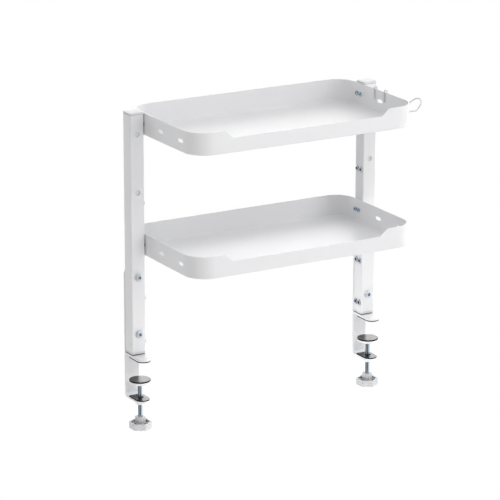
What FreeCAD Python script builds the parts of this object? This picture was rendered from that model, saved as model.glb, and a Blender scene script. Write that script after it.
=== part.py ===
import FreeCAD, Part
import os
import re
from math import cos, radians, sin

import Sketcher
from FreeCAD import Placement, Rotation, Vector

# Two-tier desk shelf that clamps to a desk's rear edge.  Units: millimetres, +Z up, +X right.
# The origin lies on the desk's top surface, at its rear edge, midway between the two posts.
# The desk reaches from there towards -Y, which is the user's side.

DIMENSIONS = {
    # square tube posts and the holes in their front and rear walls
    "tube_size": 25.0,
    "tube_wall": 1.5,
    "tube_corner": 2.5,
    "tube_length": 395.0,
    "bolt_hole": 9.0,
    "end_hole": 30.2,
    "hole_pitch": 96.0,
    "spare_hole": 267.2,
    "sleeve_size": 12.0,
    # heights of the rivet nut rows above the tube's lower end, and the nuts themselves
    "row_lowest": 15.2,
    "row_low": 89.2,
    "row_lower_tray": 178.2,
    "row_spare": 248.2,
    "row_upper_tray": 378.2,
    "rivet_pitch": 10.6,
    "rivet_flange": 10.0,
    "rivet_flange_height": 1.5,
    "rivet_barrel": 7.0,
    "rivet_length": 11.0,
    "rivet_bulge": 9.4,
    "rivet_bulge_height": 2.6,
    "rivet_bore": 5.0,
    "rivet_chamfer": 0.5,
    # moulded plugs in the tube's ends
    "cap_flange": 3.5,
    "cap_collar": 0.5,
    "collar_inset": 0.8,
    "foot_flange": 4.0,
    "foot_gap": 1.4,
    "plug_depth": 9.0,
    "plug_wall": 2.0,
    "plug_clearance": 0.1,
    "plug_edge": 0.7,
    # small plugs pressed into the front of the spare bolt holes
    "hole_plug_recess": 2.2,
    "hole_plug_length": 6.0,
    "hole_plug_edge": 0.3,
    # trays
    "tray_width": 410.0,
    "tray_depth": 223.0,
    "tray_height": 36.3,
    "tray_corner": 36.5,
    "tray_bend": 1.6,
    "sheet_metal": 1.2,
    "lip_height": 24.3,
    "notch_top": 150.6,
    "notch_bottom": 136.8,
    "notch_round": 8.0,
    "slot_length": 15.5,
    "slot_height": 5.4,
    "slot_pitch": 65.0,
    # M5 tray screws
    "small_shank": 4.9,
    "small_head": 8.6,
    "small_head_height": 2.7,
    "small_length": 11.0,
    "small_key": 3.0,
    # M8 bolts and nuts
    "bolt_shank": 7.9,
    "bolt_head": 13.6,
    "bolt_head_height": 4.2,
    "bolt_length": 37.0,
    "bolt_key": 5.0,
    "nut_flats": 13.0,
    "nut_height": 6.5,
    "nut_bore": 8.1,
    # bent strap of the clamp bracket, its jaws and their rubber pads
    "strap_thickness": 3.0,
    "jaw_thickness": 4.4,
    "end_round": 12.4,
    "inner_bend": 5.0,
    "upper_reach": 51.5,
    "lower_reach": 46.5,
    "lower_jaw_top": -67.8,
    "screw_hole": 8.6,
    "rubber": 1.8,
    "rubber_inset": 0.5,
    "rubber_round": 11.9,
    "upper_rubber_start": 11.5,
    "lower_rubber_start": 9.8,
    "rubber_hole": 12.0,
    # clamp screw, its pressure disc and its knob
    "screw_offset": 26.5,
    "screw_neck": 6.0,
    "ring_groove": 5.0,
    "disc_top": -34.6,
    "disc_rubber": 2.5,
    "disc_diameter": 35.5,
    "disc_plate": 2.1,
    "disc_cone_top": 33.0,
    "disc_cone_base": 19.0,
    "disc_cone_height": 4.7,
    "disc_bore": 6.2,
    "disc_recess": 11.6,
    "disc_recess_depth": 2.0,
    "ring_diameter": 10.0,
    "ring_height": 0.9,
    "knob_bottom": -118.8,
    "knob_height": 11.0,
    "knob_flats": 32.4,
    "knob_wall": 2.2,
    "knob_floor": 2.0,
    "knob_edge": 0.6,
    "hub_diameter": 17.3,
    "hub_top": -98.4,
    "rib_thickness": 1.6,
    "rib_drop": 1.4,
    "knob_bore": 8.0,
    # wire hook on the upper tray's right wall
    "wire": 2.4,
    "hook_half_width": 15.2,
    "hook_inner_length": 15.9,
    "hook_arch": 2.6,
    "hook_arch_rise": 0.8,
    "hook_drop": 1.8,
    "hook_arm_end": 267.0,
    "hook_bend": 3.0,
    "hook_lean": 48.0,
    "hook_leg": 5.5,
}

LEFT, RIGHT = -1, 1
SIDE_NAMES = {LEFT: "left", RIGHT: "right"}

doc = FreeCAD.newDocument("DeskShelf")
sheet = doc.addObject("Spreadsheet::Sheet", "Dimensions")
for sheet_row, (alias, size) in enumerate(DIMENSIONS.items(), start=1):
    sheet.set(f"A{sheet_row}", alias)
    sheet.set(f"B{sheet_row}", str(size))
    sheet.setAlias(f"B{sheet_row}", alias)
doc.recompute()

sub_parts = []


# ---------------------------------------------------------------- expressions on the sheet

def on_sheet(expression):
    """The expression with each dimension's name pointed at its cell."""
    def cell(match):
        word = match.group(0)
        return f"Dimensions.{word}" if word in DIMENSIONS else word
    return re.sub(r"[a-z]+(?:_[a-z]+)*", cell, str(expression))


def value(expression):
    """What an expression on the sheet comes to, as a plain number."""
    result = sheet_reader.evalExpression(on_sheet(expression))
    return float(getattr(result, "Value", result))


def bind(thing, prop, expression):
    """Set a property of an object from the sheet."""
    thing.setExpression(prop, on_sheet(expression))


sheet_reader = doc.addObject("App::FeaturePython", "SheetReader")


# ---------------------------------------------------------------- sketches

def sketch(body, role="XY_Plane", offset="0"):
    """An empty sketch on one of the body's own origin planes, moved along its normal."""
    plane = next(f for f in body.Origin.OriginFeatures if f.Role == role)
    made = body.newObject("Sketcher::SketchObject", "Sketch")
    made.AttachmentSupport = [(plane, "")]
    made.MapMode = "FlatFace"
    bind(made, ".AttachmentOffset.Base.z", offset)
    return made


def fix_point(made, geometry, point, x, y):
    """Hold a point of the sketch at two distances from the sketch's origin."""
    for kind, distance in (("DistanceX", x), ("DistanceY", y)):
        index = made.addConstraint(
            Sketcher.Constraint(kind, -1, 1, geometry, point, value(distance)))
        bind(made, f"Constraints[{index}]", distance)


def polygon(made, corners):
    """A closed outline of straight lines through corners given as pairs of expressions."""
    points = [Vector(value(x), value(y), 0) for x, y in corners]
    first = made.GeometryCount
    count = len(points)
    for i in range(count):
        made.addGeometry(Part.LineSegment(points[i], points[(i + 1) % count]))
    for i in range(count):
        following = first + (i + 1) % count
        made.addConstraint(Sketcher.Constraint("Coincident", first + i, 2, following, 1))
    for i, (x, y) in enumerate(corners):
        fix_point(made, first + i, 1, x, y)


def rectangle(made, x0, y0, x1, y1):
    polygon(made, [(x0, y0), (x1, y0), (x1, y1), (x0, y1)])


def rounded_rectangle(made, half_x, half_y, radius):
    """A rectangle round the origin with round corners, as tangent lines and arcs."""
    across, along = value(half_x), value(half_y)
    size = value(radius)
    axis = Vector(0, 0, 1)
    arcs = []
    centres = []
    for start, (x_sign, y_sign) in zip((0, 90, 180, 270), ((1, 1), (-1, 1), (-1, -1), (1, -1))):
        centre = Vector(x_sign * (across - size), y_sign * (along - size), 0)
        bow = Part.ArcOfCircle(Part.Circle(centre, axis, size), radians(start), radians(start + 90))
        arcs.append(made.addGeometry(bow))
        centres.append((f"{x_sign} * (({half_x}) - ({radius}))",
                        f"{y_sign} * (({half_y}) - ({radius}))"))
    for i in range(4):
        this, following = made.Geometry[arcs[i]], made.Geometry[arcs[(i + 1) % 4]]
        line = made.addGeometry(Part.LineSegment(this.EndPoint, following.StartPoint))
        made.addConstraint(Sketcher.Constraint("Tangent", arcs[i], 2, line, 1))
        made.addConstraint(Sketcher.Constraint("Tangent", line, 2, arcs[(i + 1) % 4], 1))
    for arc, (x, y) in zip(arcs, centres):
        fix_point(made, arc, 3, x, y)
    size_index = made.addConstraint(Sketcher.Constraint("Radius", arcs[0], size))
    bind(made, f"Constraints[{size_index}]", radius)


def square(made, half):
    rectangle(made, f"-({half})", f"-({half})", half, half)


def hexagon(made, flats):
    """A hexagon round the origin with two of its flats square to X."""
    half = f"({flats}) / 2"
    low = f"({flats}) / (2 * sqrt(3))"
    tip = f"({flats}) / sqrt(3)"
    polygon(made, [
        (half, f"-{low}"), (half, low), ("0", tip),
        (f"-{half}", low), (f"-{half}", f"-{low}"), ("0", f"-{tip}"),
    ])


def circle(made, diameter, x="0", y="0"):
    centre = Vector(value(x), value(y), 0)
    index = made.addGeometry(Part.Circle(centre, Vector(0, 0, 1), value(diameter) / 2))
    fix_point(made, index, 3, x, y)
    size_index = made.addConstraint(Sketcher.Constraint("Diameter", index, value(diameter)))
    bind(made, f"Constraints[{size_index}]", diameter)


def obround(made, length, height, x, y):
    """A slot with round ends, lying along the sketch's X."""
    reach = f"(({length}) - ({height})) / 2"
    radius = value(height) / 2
    left = Vector(value(f"{x} - {reach}"), value(y), 0)
    right = Vector(value(f"{x} + {reach}"), value(y), 0)
    up = Vector(0, radius, 0)
    axis = Vector(0, 0, 1)
    left_arc = made.addGeometry(
        Part.ArcOfCircle(Part.Circle(left, axis, radius), radians(90), radians(270)))
    lower = made.addGeometry(Part.LineSegment(left - up, right - up))
    right_arc = made.addGeometry(
        Part.ArcOfCircle(Part.Circle(right, axis, radius), radians(-90), radians(90)))
    upper = made.addGeometry(Part.LineSegment(right + up, left + up))
    joints = [(left_arc, 2, lower, 1), (lower, 2, right_arc, 1),
              (right_arc, 2, upper, 1), (upper, 2, left_arc, 1)]
    for joint in joints:
        made.addConstraint(Sketcher.Constraint("Tangent", *joint))
    made.addConstraint(Sketcher.Constraint("Equal", left_arc, right_arc))
    fix_point(made, left_arc, 3, f"{x} - {reach}", y)
    fix_point(made, right_arc, 3, f"{x} + {reach}", y)
    size_index = made.addConstraint(Sketcher.Constraint("Radius", left_arc, radius))
    bind(made, f"Constraints[{size_index}]", f"({height}) / 2")


# ---------------------------------------------------------------- features of a body

def new_body(label):
    made = doc.addObject("PartDesign::Body", label)
    made.Label = label
    return made


def pad(body, profile, length, symmetric=False, reverse=False):
    made = body.newObject("PartDesign::Pad", "Pad")
    made.Profile = profile
    bind(made, "Length", length)
    made.SideType = "Symmetric" if symmetric else "One side"
    made.Reversed = reverse
    doc.recompute()
    return made


def pocket(body, profile, length=None, symmetric=False, reverse=False):
    """A cut that must take something away: through everything where no length is given."""
    before = body.Shape.Volume
    made = body.newObject("PartDesign::Pocket", "Pocket")
    made.Profile = profile
    if length is None:
        made.Type = "ThroughAll"
    else:
        bind(made, "Length", length)
    made.SideType = "Symmetric" if symmetric else "One side"
    made.Reversed = reverse
    doc.recompute()
    if not body.Shape.Volume < before - 1e-3:
        raise RuntimeError(f"a pocket of {body.Label} cuts nothing")
    return made


def revolve(body, outline, turn=360.0):
    """A turned solid: the outline is (radius, height) pairs, turned about the body's Z."""
    profile = sketch(body, "XZ_Plane")
    polygon(profile, outline)
    axis = next(f for f in body.Origin.OriginFeatures if f.Role == "Z_Axis")
    made = body.newObject("PartDesign::Revolution", "Revolution")
    made.Profile = profile
    made.ReferenceAxis = (axis, [""])
    made.Angle = turn
    doc.recompute()
    return made


def dress(body, kind, prop, amount, wanted):
    """A fillet or chamfer on the edges of the body that the test picks."""
    base = body.Tip
    names = [f"Edge{i + 1}" for i, edge in enumerate(base.Shape.Edges) if wanted(edge)]
    if not names:
        raise RuntimeError(f"no edge of {body.Label} to dress")
    made = body.newObject(kind, kind.split("::")[1])
    made.Base = (base, names)
    bind(made, prop, amount)
    doc.recompute()
    return made


def fillet(body, radius, wanted):
    return dress(body, "PartDesign::Fillet", "Radius", radius, wanted)


def chamfer(body, amount, wanted):
    return dress(body, "PartDesign::Chamfer", "Size", amount, wanted)


def runs_along(axis):
    """A test for straight edges parallel to X, Y or Z."""
    others = [a for a in ("XLength", "YLength", "ZLength") if a != f"{axis}Length"]

    def test(edge):
        box = edge.BoundBox
        flat = all(getattr(box, other) < 1e-4 for other in others)
        return flat and getattr(box, f"{axis}Length") > 1e-3
    return test


def at_height(level):
    """A test for edges that lie wholly at one height."""
    def test(edge):
        box = edge.BoundBox
        return abs(box.ZMin - value(level)) < 1e-4 and abs(box.ZMax - value(level)) < 1e-4
    return test


def place(thing, x="0", y="0", z="0", rotation=None):
    if rotation is not None:
        thing.Placement = Placement(Vector(), rotation)
    for axis, expression in (("x", x), ("y", y), ("z", z)):
        bind(thing, f".Placement.Base.{axis}", expression)


def keep(thing):
    """Register a finished sub-part, which is written to its own file."""
    sub_parts.append(thing)
    return thing


def group(label, template, placements):
    """Identical fasteners as separate solids of one node."""
    copies = []
    for placement in placements:
        copy = template.Shape.copy()
        copy.Placement = placement
        copies.append(copy)
    made = doc.addObject("Part::Feature", label)
    made.Label = label
    made.Shape = Part.makeCompound(copies)
    return keep(made)


# ---------------------------------------------------------------- shared places

def post_x(side):
    """Centre line of a post, as an expression."""
    return f"{side} * (tray_width / 2 + rivet_flange_height + tube_size / 2)"


POST_Y = "-tube_size / 2"
UPPER_JAW_TOP = "rubber + jaw_thickness"
POST_BASE = f"{UPPER_JAW_TOP} + foot_gap + foot_flange"
TRAY_Y = f"{POST_Y} - slot_pitch"
TRAY_ROWS = {"upper": "row_upper_tray", "lower": "row_lower_tray"}
FASTENER_ROWS = ["row_lowest", "row_low", "row_lower_tray", "row_spare", "row_upper_tray"]
BRACKET_HOLES = ["end_hole", "end_hole + hole_pitch"]
SPARE_HOLES = ["spare_hole", "spare_hole + hole_pitch"]
LOWER_JAW_BOTTOM = "lower_jaw_top - strap_thickness"


def tray_base(tier):
    """Underside of a tray: its wall is centred on its row of rivet nuts."""
    return f"{POST_BASE} + {TRAY_ROWS[tier]} - tray_height / 2"


# ---------------------------------------------------------------- posts and their end plugs

def build_post(side):
    """Square tube with a crush sleeve at each bolt hole and a column of rivet nut holes inboard."""
    body = new_body(f"{SIDE_NAMES[side]}_post")
    outer = sketch(body)
    square(outer, "tube_size / 2")
    pad(body, outer, "tube_length")
    fillet(body, "tube_corner", runs_along("Z"))

    inner = sketch(body)
    square(inner, "tube_size / 2 - tube_wall")
    pocket(body, inner, reverse=True)
    inner_half = value("tube_size / 2 - tube_wall")

    def inner_corner(edge):
        centre = edge.BoundBox.Center
        near = abs(abs(centre.x) - inner_half) < 1e-3 and abs(abs(centre.y) - inner_half) < 1e-3
        return near and runs_along("Z")(edge)
    fillet(body, "tube_corner - tube_wall", inner_corner)

    sleeves = sketch(body, "XZ_Plane")
    bolts = sketch(body, "XZ_Plane")
    for height in BRACKET_HOLES + SPARE_HOLES:
        circle(sleeves, "sleeve_size", "0", height)
        circle(bolts, "bolt_hole", "0", height)
    pad(body, sleeves, "tube_size - tube_wall", symmetric=True)
    pocket(body, bolts, symmetric=True)

    rivets = sketch(body, "YZ_Plane")
    for height in FASTENER_ROWS:
        for across in ("-rivet_pitch / 2", "rivet_pitch / 2"):
            circle(rivets, "rivet_barrel + 0.1", across, height)
    pocket(body, rivets, "tube_size", reverse=side == LEFT)

    place(body, post_x(side), POST_Y, POST_BASE)
    return keep(body)


def build_plug(label, side, flange, height, collar="0", rotation=None):
    """Moulded plug: a hollow skirt, perhaps a recessed collar, and a flange as wide as the tube."""
    body = new_body(label)
    skirt_half = "tube_size / 2 - tube_wall - plug_clearance"
    skirt = sketch(body)
    square(skirt, skirt_half)
    pad(body, skirt, "plug_depth", reverse=True)
    fillet(body, "tube_corner - tube_wall + plug_clearance", runs_along("Z"))

    if value(collar) > 0:
        neck = sketch(body)
        square(neck, "tube_size / 2 - collar_inset")
        pad(body, neck, collar)
    head = sketch(body, offset=collar)
    square(head, "tube_size / 2")
    pad(body, head, flange)

    def head_corner(edge):
        centre = edge.BoundBox.Center
        return runs_along("Z")(edge) and centre.z > value(collar) - 1e-3
    fillet(body, "tube_corner", head_corner)
    fillet(body, "plug_edge", at_height(f"{collar} + {flange}"))

    hollow = sketch(body, offset="-plug_depth")
    square(hollow, f"{skirt_half} - plug_wall")
    pocket(body, hollow, "plug_depth - 1", reverse=True)
    place(body, post_x(side), POST_Y, height, rotation)
    return keep(body)


# ---------------------------------------------------------------- templates for fasteners

def build_rivet_nut():
    """Rivet nut as set: flange outside the tube, bulged barrel inside.  Z points outwards."""
    body = new_body("rivet_nut_template")
    seat = "-tube_wall"
    revolve(body, [
        ("rivet_bore / 2", "-rivet_length"),
        ("rivet_barrel / 2", "-rivet_length"),
        ("rivet_barrel / 2", f"{seat} - rivet_bulge_height"),
        ("rivet_bulge / 2", f"{seat} - rivet_bulge_height / 2"),
        ("rivet_bulge / 2 - 0.3", seat),
        ("rivet_barrel / 2", seat),
        ("rivet_barrel / 2", "0"),
        ("rivet_flange / 2", "0"),
        ("rivet_flange / 2", "rivet_flange_height"),
        ("rivet_bore / 2 + rivet_chamfer", "rivet_flange_height"),
        ("rivet_bore / 2", "rivet_flange_height - rivet_chamfer"),
    ])
    return body


def build_button_screw(label, shank, head, head_height, length, key):
    """Button-head screw with a hex socket.  The head's seat is at Z = 0, the shank goes down."""
    body = new_body(label)
    revolve(body, [
        ("0", f"-({length})"),
        (f"{shank} / 2 - 0.6", f"-({length})"),
        (f"{shank} / 2", f"-({length}) + 0.6"),
        (f"{shank} / 2", "0"),
        (f"{head} / 2", "0"),
        (f"{head} / 2", head_height),
        ("0", head_height),
    ])
    fillet(body, f"{head_height} * 0.7", at_height(head_height))
    socket = sketch(body, offset=head_height)
    hexagon(socket, key)
    pocket(body, socket, f"{head_height} * 0.65")
    return body


def build_hex_nut():
    """M8 nut standing on Z = 0, with its corners turned down at both ends."""
    body = new_body("hex_nut_template")
    outline = sketch(body)
    hexagon(outline, "nut_flats")
    pad(body, outline, "nut_height")
    chamfer(body, "0.4", lambda edge: at_height("0")(edge) or at_height("nut_height")(edge))
    bore = sketch(body)
    circle(bore, "nut_bore")
    pocket(body, bore, reverse=True)
    return body


def build_hole_plug():
    """Plug pressed into a spare bolt hole.  Its face is at Z = 0, which points outwards."""
    body = new_body("hole_plug_template")
    revolve(body, [
        ("0", "-hole_plug_length"),
        ("bolt_hole / 2", "-hole_plug_length"),
        ("bolt_hole / 2", "-hole_plug_edge"),
        ("bolt_hole / 2 - hole_plug_edge", "0"),
        ("0", "0"),
    ])
    return body


# ---------------------------------------------------------------- clamp bracket and jaws

def build_bracket(side):
    """Strap behind the post, round at the top and bent forward below into the lower jaw."""
    body = new_body(f"{SIDE_NAMES[side]}_bracket")
    top = f"{POST_BASE} + end_hole + hole_pitch + tube_size / 2"
    profile = sketch(body, "YZ_Plane")
    polygon(profile, [
        ("0", top),
        ("0", "lower_jaw_top"),
        ("-lower_reach", "lower_jaw_top"),
        ("-lower_reach", LOWER_JAW_BOTTOM),
        ("strap_thickness", LOWER_JAW_BOTTOM),
        ("strap_thickness", top),
    ])
    pad(body, profile, "tube_size", symmetric=True)

    def bend(y, z):
        def test(edge):
            centre = edge.BoundBox.Center
            close = abs(centre.y - value(y)) < 1e-3 and abs(centre.z - value(z)) < 1e-3
            return close and runs_along("X")(edge)
        return test
    fillet(body, "inner_bend", bend("0", "lower_jaw_top"))
    fillet(body, "inner_bend + strap_thickness", bend("strap_thickness", LOWER_JAW_BOTTOM))

    def strap_end(edge):
        centre = edge.BoundBox.Center
        at_top = runs_along("Y")(edge) and abs(centre.z - value(top)) < 1e-3
        at_front = runs_along("Z")(edge) and abs(centre.y + value("lower_reach")) < 1e-3
        return at_top or at_front
    fillet(body, "end_round", strap_end)

    bolts = sketch(body, "XZ_Plane")
    for height in BRACKET_HOLES:
        circle(bolts, "bolt_hole", "0", f"{POST_BASE} + {height}")
    pocket(body, bolts, symmetric=True)
    screw = sketch(body)
    circle(screw, "screw_hole", "0", "-screw_offset")
    pocket(body, screw, symmetric=True)
    place(body, post_x(side))
    return keep(body)


def build_plate(label, side, half_width, start, reach, level, thickness, end_radius):
    """Flat plate that runs forward to a round end."""
    body = new_body(label)
    outline = sketch(body)
    rectangle(outline, f"-({half_width})", f"-({reach})", half_width, f"-({start})")
    pad(body, outline, thickness)

    def front_corner(edge):
        centre = edge.BoundBox.Center
        return runs_along("Z")(edge) and abs(centre.y + value(reach)) < 1e-3
    fillet(body, end_radius, front_corner)
    place(body, post_x(side), "0", level)
    return keep(body)


def build_jaw_parts(side):
    """Upper jaw plate, which is welded to the strap, and the rubber pads of both jaws."""
    name = SIDE_NAMES[side]
    half = "tube_size / 2"
    build_plate(f"{name}_upper_jaw", side, half, "0", "upper_reach",
                "rubber", "jaw_thickness", "end_round")
    build_plate(f"{name}_upper_jaw_pad", side, f"{half} - rubber_inset", "upper_rubber_start",
                "upper_reach - rubber_inset", "0", "rubber", "rubber_round")
    lower_pad = build_plate(f"{name}_lower_jaw_pad", side, f"{half} - rubber_inset",
                            "lower_rubber_start", "lower_reach - rubber_inset",
                            "lower_jaw_top", "rubber", "rubber_round")
    hole = sketch(lower_pad)
    circle(hole, "rubber_hole", "0", "-screw_offset")
    pocket(lower_pad, hole, reverse=True)


# ---------------------------------------------------------------- clamp screw, disc and knob

SCREW_Y = "-screw_offset"
DISC_PLATE_TOP = "disc_top - disc_rubber"
DISC_BASE = f"{DISC_PLATE_TOP} - disc_plate - disc_cone_height"
RING_BASE = f"{DISC_PLATE_TOP} - disc_recess_depth + 0.1"


def build_clamp_screw(side):
    """M8 screw: threaded shank, shoulder, and a grooved neck that carries the disc."""
    body = new_body(f"{SIDE_NAMES[side]}_clamp_screw")
    bottom = "knob_bottom + 0.5"
    shoulder = f"{DISC_BASE} - 0.1"
    revolve(body, [
        ("0", bottom),
        ("bolt_shank / 2 - 0.8", bottom),
        ("bolt_shank / 2", f"{bottom} + 0.8"),
        ("bolt_shank / 2", shoulder),
        ("screw_neck / 2", shoulder),
        ("screw_neck / 2", f"{RING_BASE} - 0.05"),
        ("ring_groove / 2", f"{RING_BASE} - 0.05"),
        ("ring_groove / 2", f"{RING_BASE} + ring_height + 0.05"),
        ("screw_neck / 2", f"{RING_BASE} + ring_height + 0.05"),
        ("screw_neck / 2", f"{DISC_PLATE_TOP} - 0.5"),
        ("0", f"{DISC_PLATE_TOP} - 0.5"),
    ])
    place(body, post_x(side), SCREW_Y)
    return keep(body)


def build_pressure_disc(side):
    """Dished steel disc: a flat rim over a cone, with a recess for the ring in its top."""
    body = new_body(f"{SIDE_NAMES[side]}_pressure_disc")
    recess_floor = f"{DISC_PLATE_TOP} - disc_recess_depth"
    revolve(body, [
        ("disc_bore / 2", DISC_BASE),
        ("disc_cone_base / 2", DISC_BASE),
        ("disc_cone_top / 2", f"{DISC_BASE} + disc_cone_height"),
        ("disc_diameter / 2 - 0.4", f"{DISC_BASE} + disc_cone_height"),
        ("disc_diameter / 2 - 0.4", DISC_PLATE_TOP),
        ("disc_recess / 2", DISC_PLATE_TOP),
        ("disc_recess / 2", recess_floor),
        ("disc_bore / 2", recess_floor),
    ])
    place(body, post_x(side), SCREW_Y)
    return keep(body)


def build_disc_pad(side):
    body = new_body(f"{SIDE_NAMES[side]}_disc_pad")
    outline = sketch(body)
    circle(outline, "disc_diameter")
    pad(body, outline, "disc_rubber")
    fillet(body, "0.5", at_height("disc_rubber"))
    place(body, post_x(side), SCREW_Y, DISC_PLATE_TOP)
    return keep(body)


def build_retaining_ring(side):
    """Open ring in the neck's groove, which keeps the disc on the screw."""
    body = new_body(f"{SIDE_NAMES[side]}_retaining_ring")
    inner = "ring_groove / 2 + 0.05"
    revolve(body, [
        (inner, "0"),
        ("ring_diameter / 2", "0"),
        ("ring_diameter / 2", "ring_height"),
        (inner, "ring_height"),
    ], turn=300.0)
    place(body, post_x(side), SCREW_Y, RING_BASE)
    return keep(body)


def build_knob(side):
    """Hexagonal shell open at the top, with a hub on six ribs and a nut pocket below."""
    body = new_body(f"{SIDE_NAMES[side]}_knob")
    outline = sketch(body)
    hexagon(outline, "knob_flats")
    pad(body, outline, "knob_height")
    fillet(body, "1.2", runs_along("Z"))
    fillet(body, "knob_edge", at_height("0"))
    bowl = sketch(body, offset="knob_floor")
    hexagon(bowl, "knob_flats - 2 * knob_wall")
    pocket(body, bowl, reverse=True)

    hub = sketch(body, offset="1")
    circle(hub, "hub_diameter")
    pad(body, hub, "hub_top - knob_bottom - 1")
    fillet(body, "0.8", at_height("hub_top - knob_bottom"))
    rib = sketch(body, offset="1")
    half_length = "knob_flats / sqrt(3) - knob_wall"
    rectangle(rib, "-rib_thickness / 2", f"-({half_length})", "rib_thickness / 2", half_length)
    rib_pad = pad(body, rib, "knob_height - rib_drop - 1")
    ribs = body.newObject("PartDesign::PolarPattern", "Ribs")
    ribs.Originals = [rib_pad]
    ribs.Axis = (next(f for f in body.Origin.OriginFeatures if f.Role == "Z_Axis"), [""])
    ribs.Angle = 180.0 * 2 / 3
    ribs.Occurrences = 3
    body.Tip = ribs
    doc.recompute()

    bore = sketch(body)
    circle(bore, "knob_bore")
    pocket(body, bore, reverse=True)
    nut_seat = sketch(body)
    hexagon(nut_seat, "nut_flats + 0.1")
    pocket(body, nut_seat, "nut_height + 0.6", reverse=True)
    place(body, post_x(side), SCREW_Y, "knob_bottom")
    return keep(body)


# ---------------------------------------------------------------- trays

def build_tray(tier):
    """Folded sheet tray with round corners, a lowered front lip and three slots a side."""
    body = new_body(f"{tier}_tray")
    half_width, half_depth = "tray_width / 2", "tray_depth / 2"
    outer = sketch(body)
    rounded_rectangle(outer, half_width, half_depth, "tray_corner")
    pad(body, outer, "tray_height")
    fillet(body, "tray_bend", at_height("0"))
    inner = sketch(body, offset="sheet_metal")
    rounded_rectangle(inner, f"{half_width} - sheet_metal", f"{half_depth} - sheet_metal",
                      "tray_corner - sheet_metal")
    pocket(body, inner, reverse=True)

    notch = sketch(body, "XZ_Plane")
    polygon(notch, [
        ("-notch_top", "tray_height"),
        ("-notch_bottom", "lip_height"),
        ("notch_bottom", "lip_height"),
        ("notch_top", "tray_height"),
    ])
    pocket(body, notch, "tray_depth", reverse=True)

    def notch_corner(edge):
        centre = edge.BoundBox.Center
        levels = (value("tray_height"), value("lip_height"))
        level = min(abs(centre.z - z) for z in levels) < 1e-3
        return runs_along("Y")(edge) and level and centre.y < -value("tray_depth / 4")
    fillet(body, "notch_round", notch_corner)

    slots = sketch(body, "YZ_Plane")
    for step in (-1, 0, 1):
        obround(slots, "slot_length", "slot_height", f"{step} * slot_pitch", "tray_height / 2")
    pocket(body, slots, symmetric=True)
    place(body, "0", TRAY_Y, tray_base(tier))
    return keep(body)


# ---------------------------------------------------------------- wire hook

def rounded_path(points, radii):
    """Straight runs joined by tangent arcs: one radius for each point between the ends."""
    edges = []
    start = points[0]
    for i, radius in enumerate(radii, start=1):
        corner = points[i]
        back = (points[i - 1] - corner).normalize()
        ahead = (points[i + 1] - corner).normalize()
        half_angle = back.getAngle(ahead) / 2
        reach = radius * cos(half_angle) / sin(half_angle)
        bisector = (back + ahead).normalize()
        middle = corner + bisector * (radius / sin(half_angle) - radius)
        first, last = corner + back * reach, corner + ahead * reach
        edges.append(Part.LineSegment(start, first).toShape())
        edges.append(Part.Arc(first, middle, last).toShape())
        start = last
    edges.append(Part.LineSegment(start, points[-1]).toShape())
    return edges


def hook_route():
    """Centre line of the wire, from the rear inner prong round to the front one."""
    centre_y = value(TRAY_Y)
    half = value("hook_half_width")
    rim = value(f"{tray_base('upper')} + tray_height")
    arch = value("hook_arch")
    inner_x = value("tray_width / 2 - sheet_metal - wire / 2") - 0.05
    outer_x = inner_x + 2 * arch
    arch_z = rim + value("hook_arch_rise")
    arm_z = value(f"{tray_base('upper')} - hook_drop")
    arm_end = value("hook_arm_end")
    lean = radians(value("hook_lean"))
    lean_way = Vector(cos(lean), 0, sin(lean))
    leg = value("hook_leg")

    def half_route(y):
        foot = Vector(inner_x, y, rim - value("hook_inner_length"))
        shoulder = Vector(inner_x, y, arch_z)
        crown = Vector(inner_x + arch, y, arch_z + arch)
        far = Vector(outer_x, y, arch_z)
        knee = Vector(outer_x, y, arm_z)
        toe = Vector(arm_end, y, arm_z)
        tip = toe + lean_way * leg
        over = [Part.LineSegment(foot, shoulder).toShape(),
                Part.Arc(shoulder, crown, far).toShape()]
        bend = value("hook_bend")
        return over + rounded_path([far, knee, toe, tip], [bend, bend]), tip

    rear, rear_tip = half_route(centre_y + half)
    front, front_tip = half_route(centre_y - half)
    apex = (rear_tip + front_tip) * 0.5 + lean_way * half
    loop = Part.Arc(rear_tip, apex, front_tip).toShape()
    return Part.Wire(Part.__sortEdges__(rear + [loop] + front))


def build_hook():
    """Bent wire hook: two prongs over the tray's wall, two arms and an upturned loop."""
    route = doc.addObject("Part::Feature", "hook_route")
    route.Shape = hook_route()
    start = route.Shape.OrderedVertexes[0].Point
    section = doc.addObject("Part::Circle", "wire_section")
    bind(section, "Radius", "wire / 2")
    section.Placement = Placement(start, Rotation())
    hook = doc.addObject("Part::Sweep", "headphone_hook")
    hook.Label = "headphone_hook"
    hook.Sections = [section]
    hook.Spine = (route, [f"Edge{i + 1}" for i in range(len(route.Shape.Edges))])
    hook.Solid = True
    hook.Frenet = False
    doc.recompute()
    expected = route.Shape.Length * 3.14159265 * value("wire / 2") ** 2
    if abs(hook.Shape.Volume / expected - 1) > 0.01:
        raise RuntimeError("the hook's wire isn't its section times its length")
    return keep(hook)


# ---------------------------------------------------------------- assembly

def facing(side, outwards):
    """Rotation that turns a fastener's Z towards the shelf's middle, or away from it."""
    towards = Vector(side if outwards else -side, 0, 0)
    return Rotation(Vector(0, 0, 1), towards)


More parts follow.
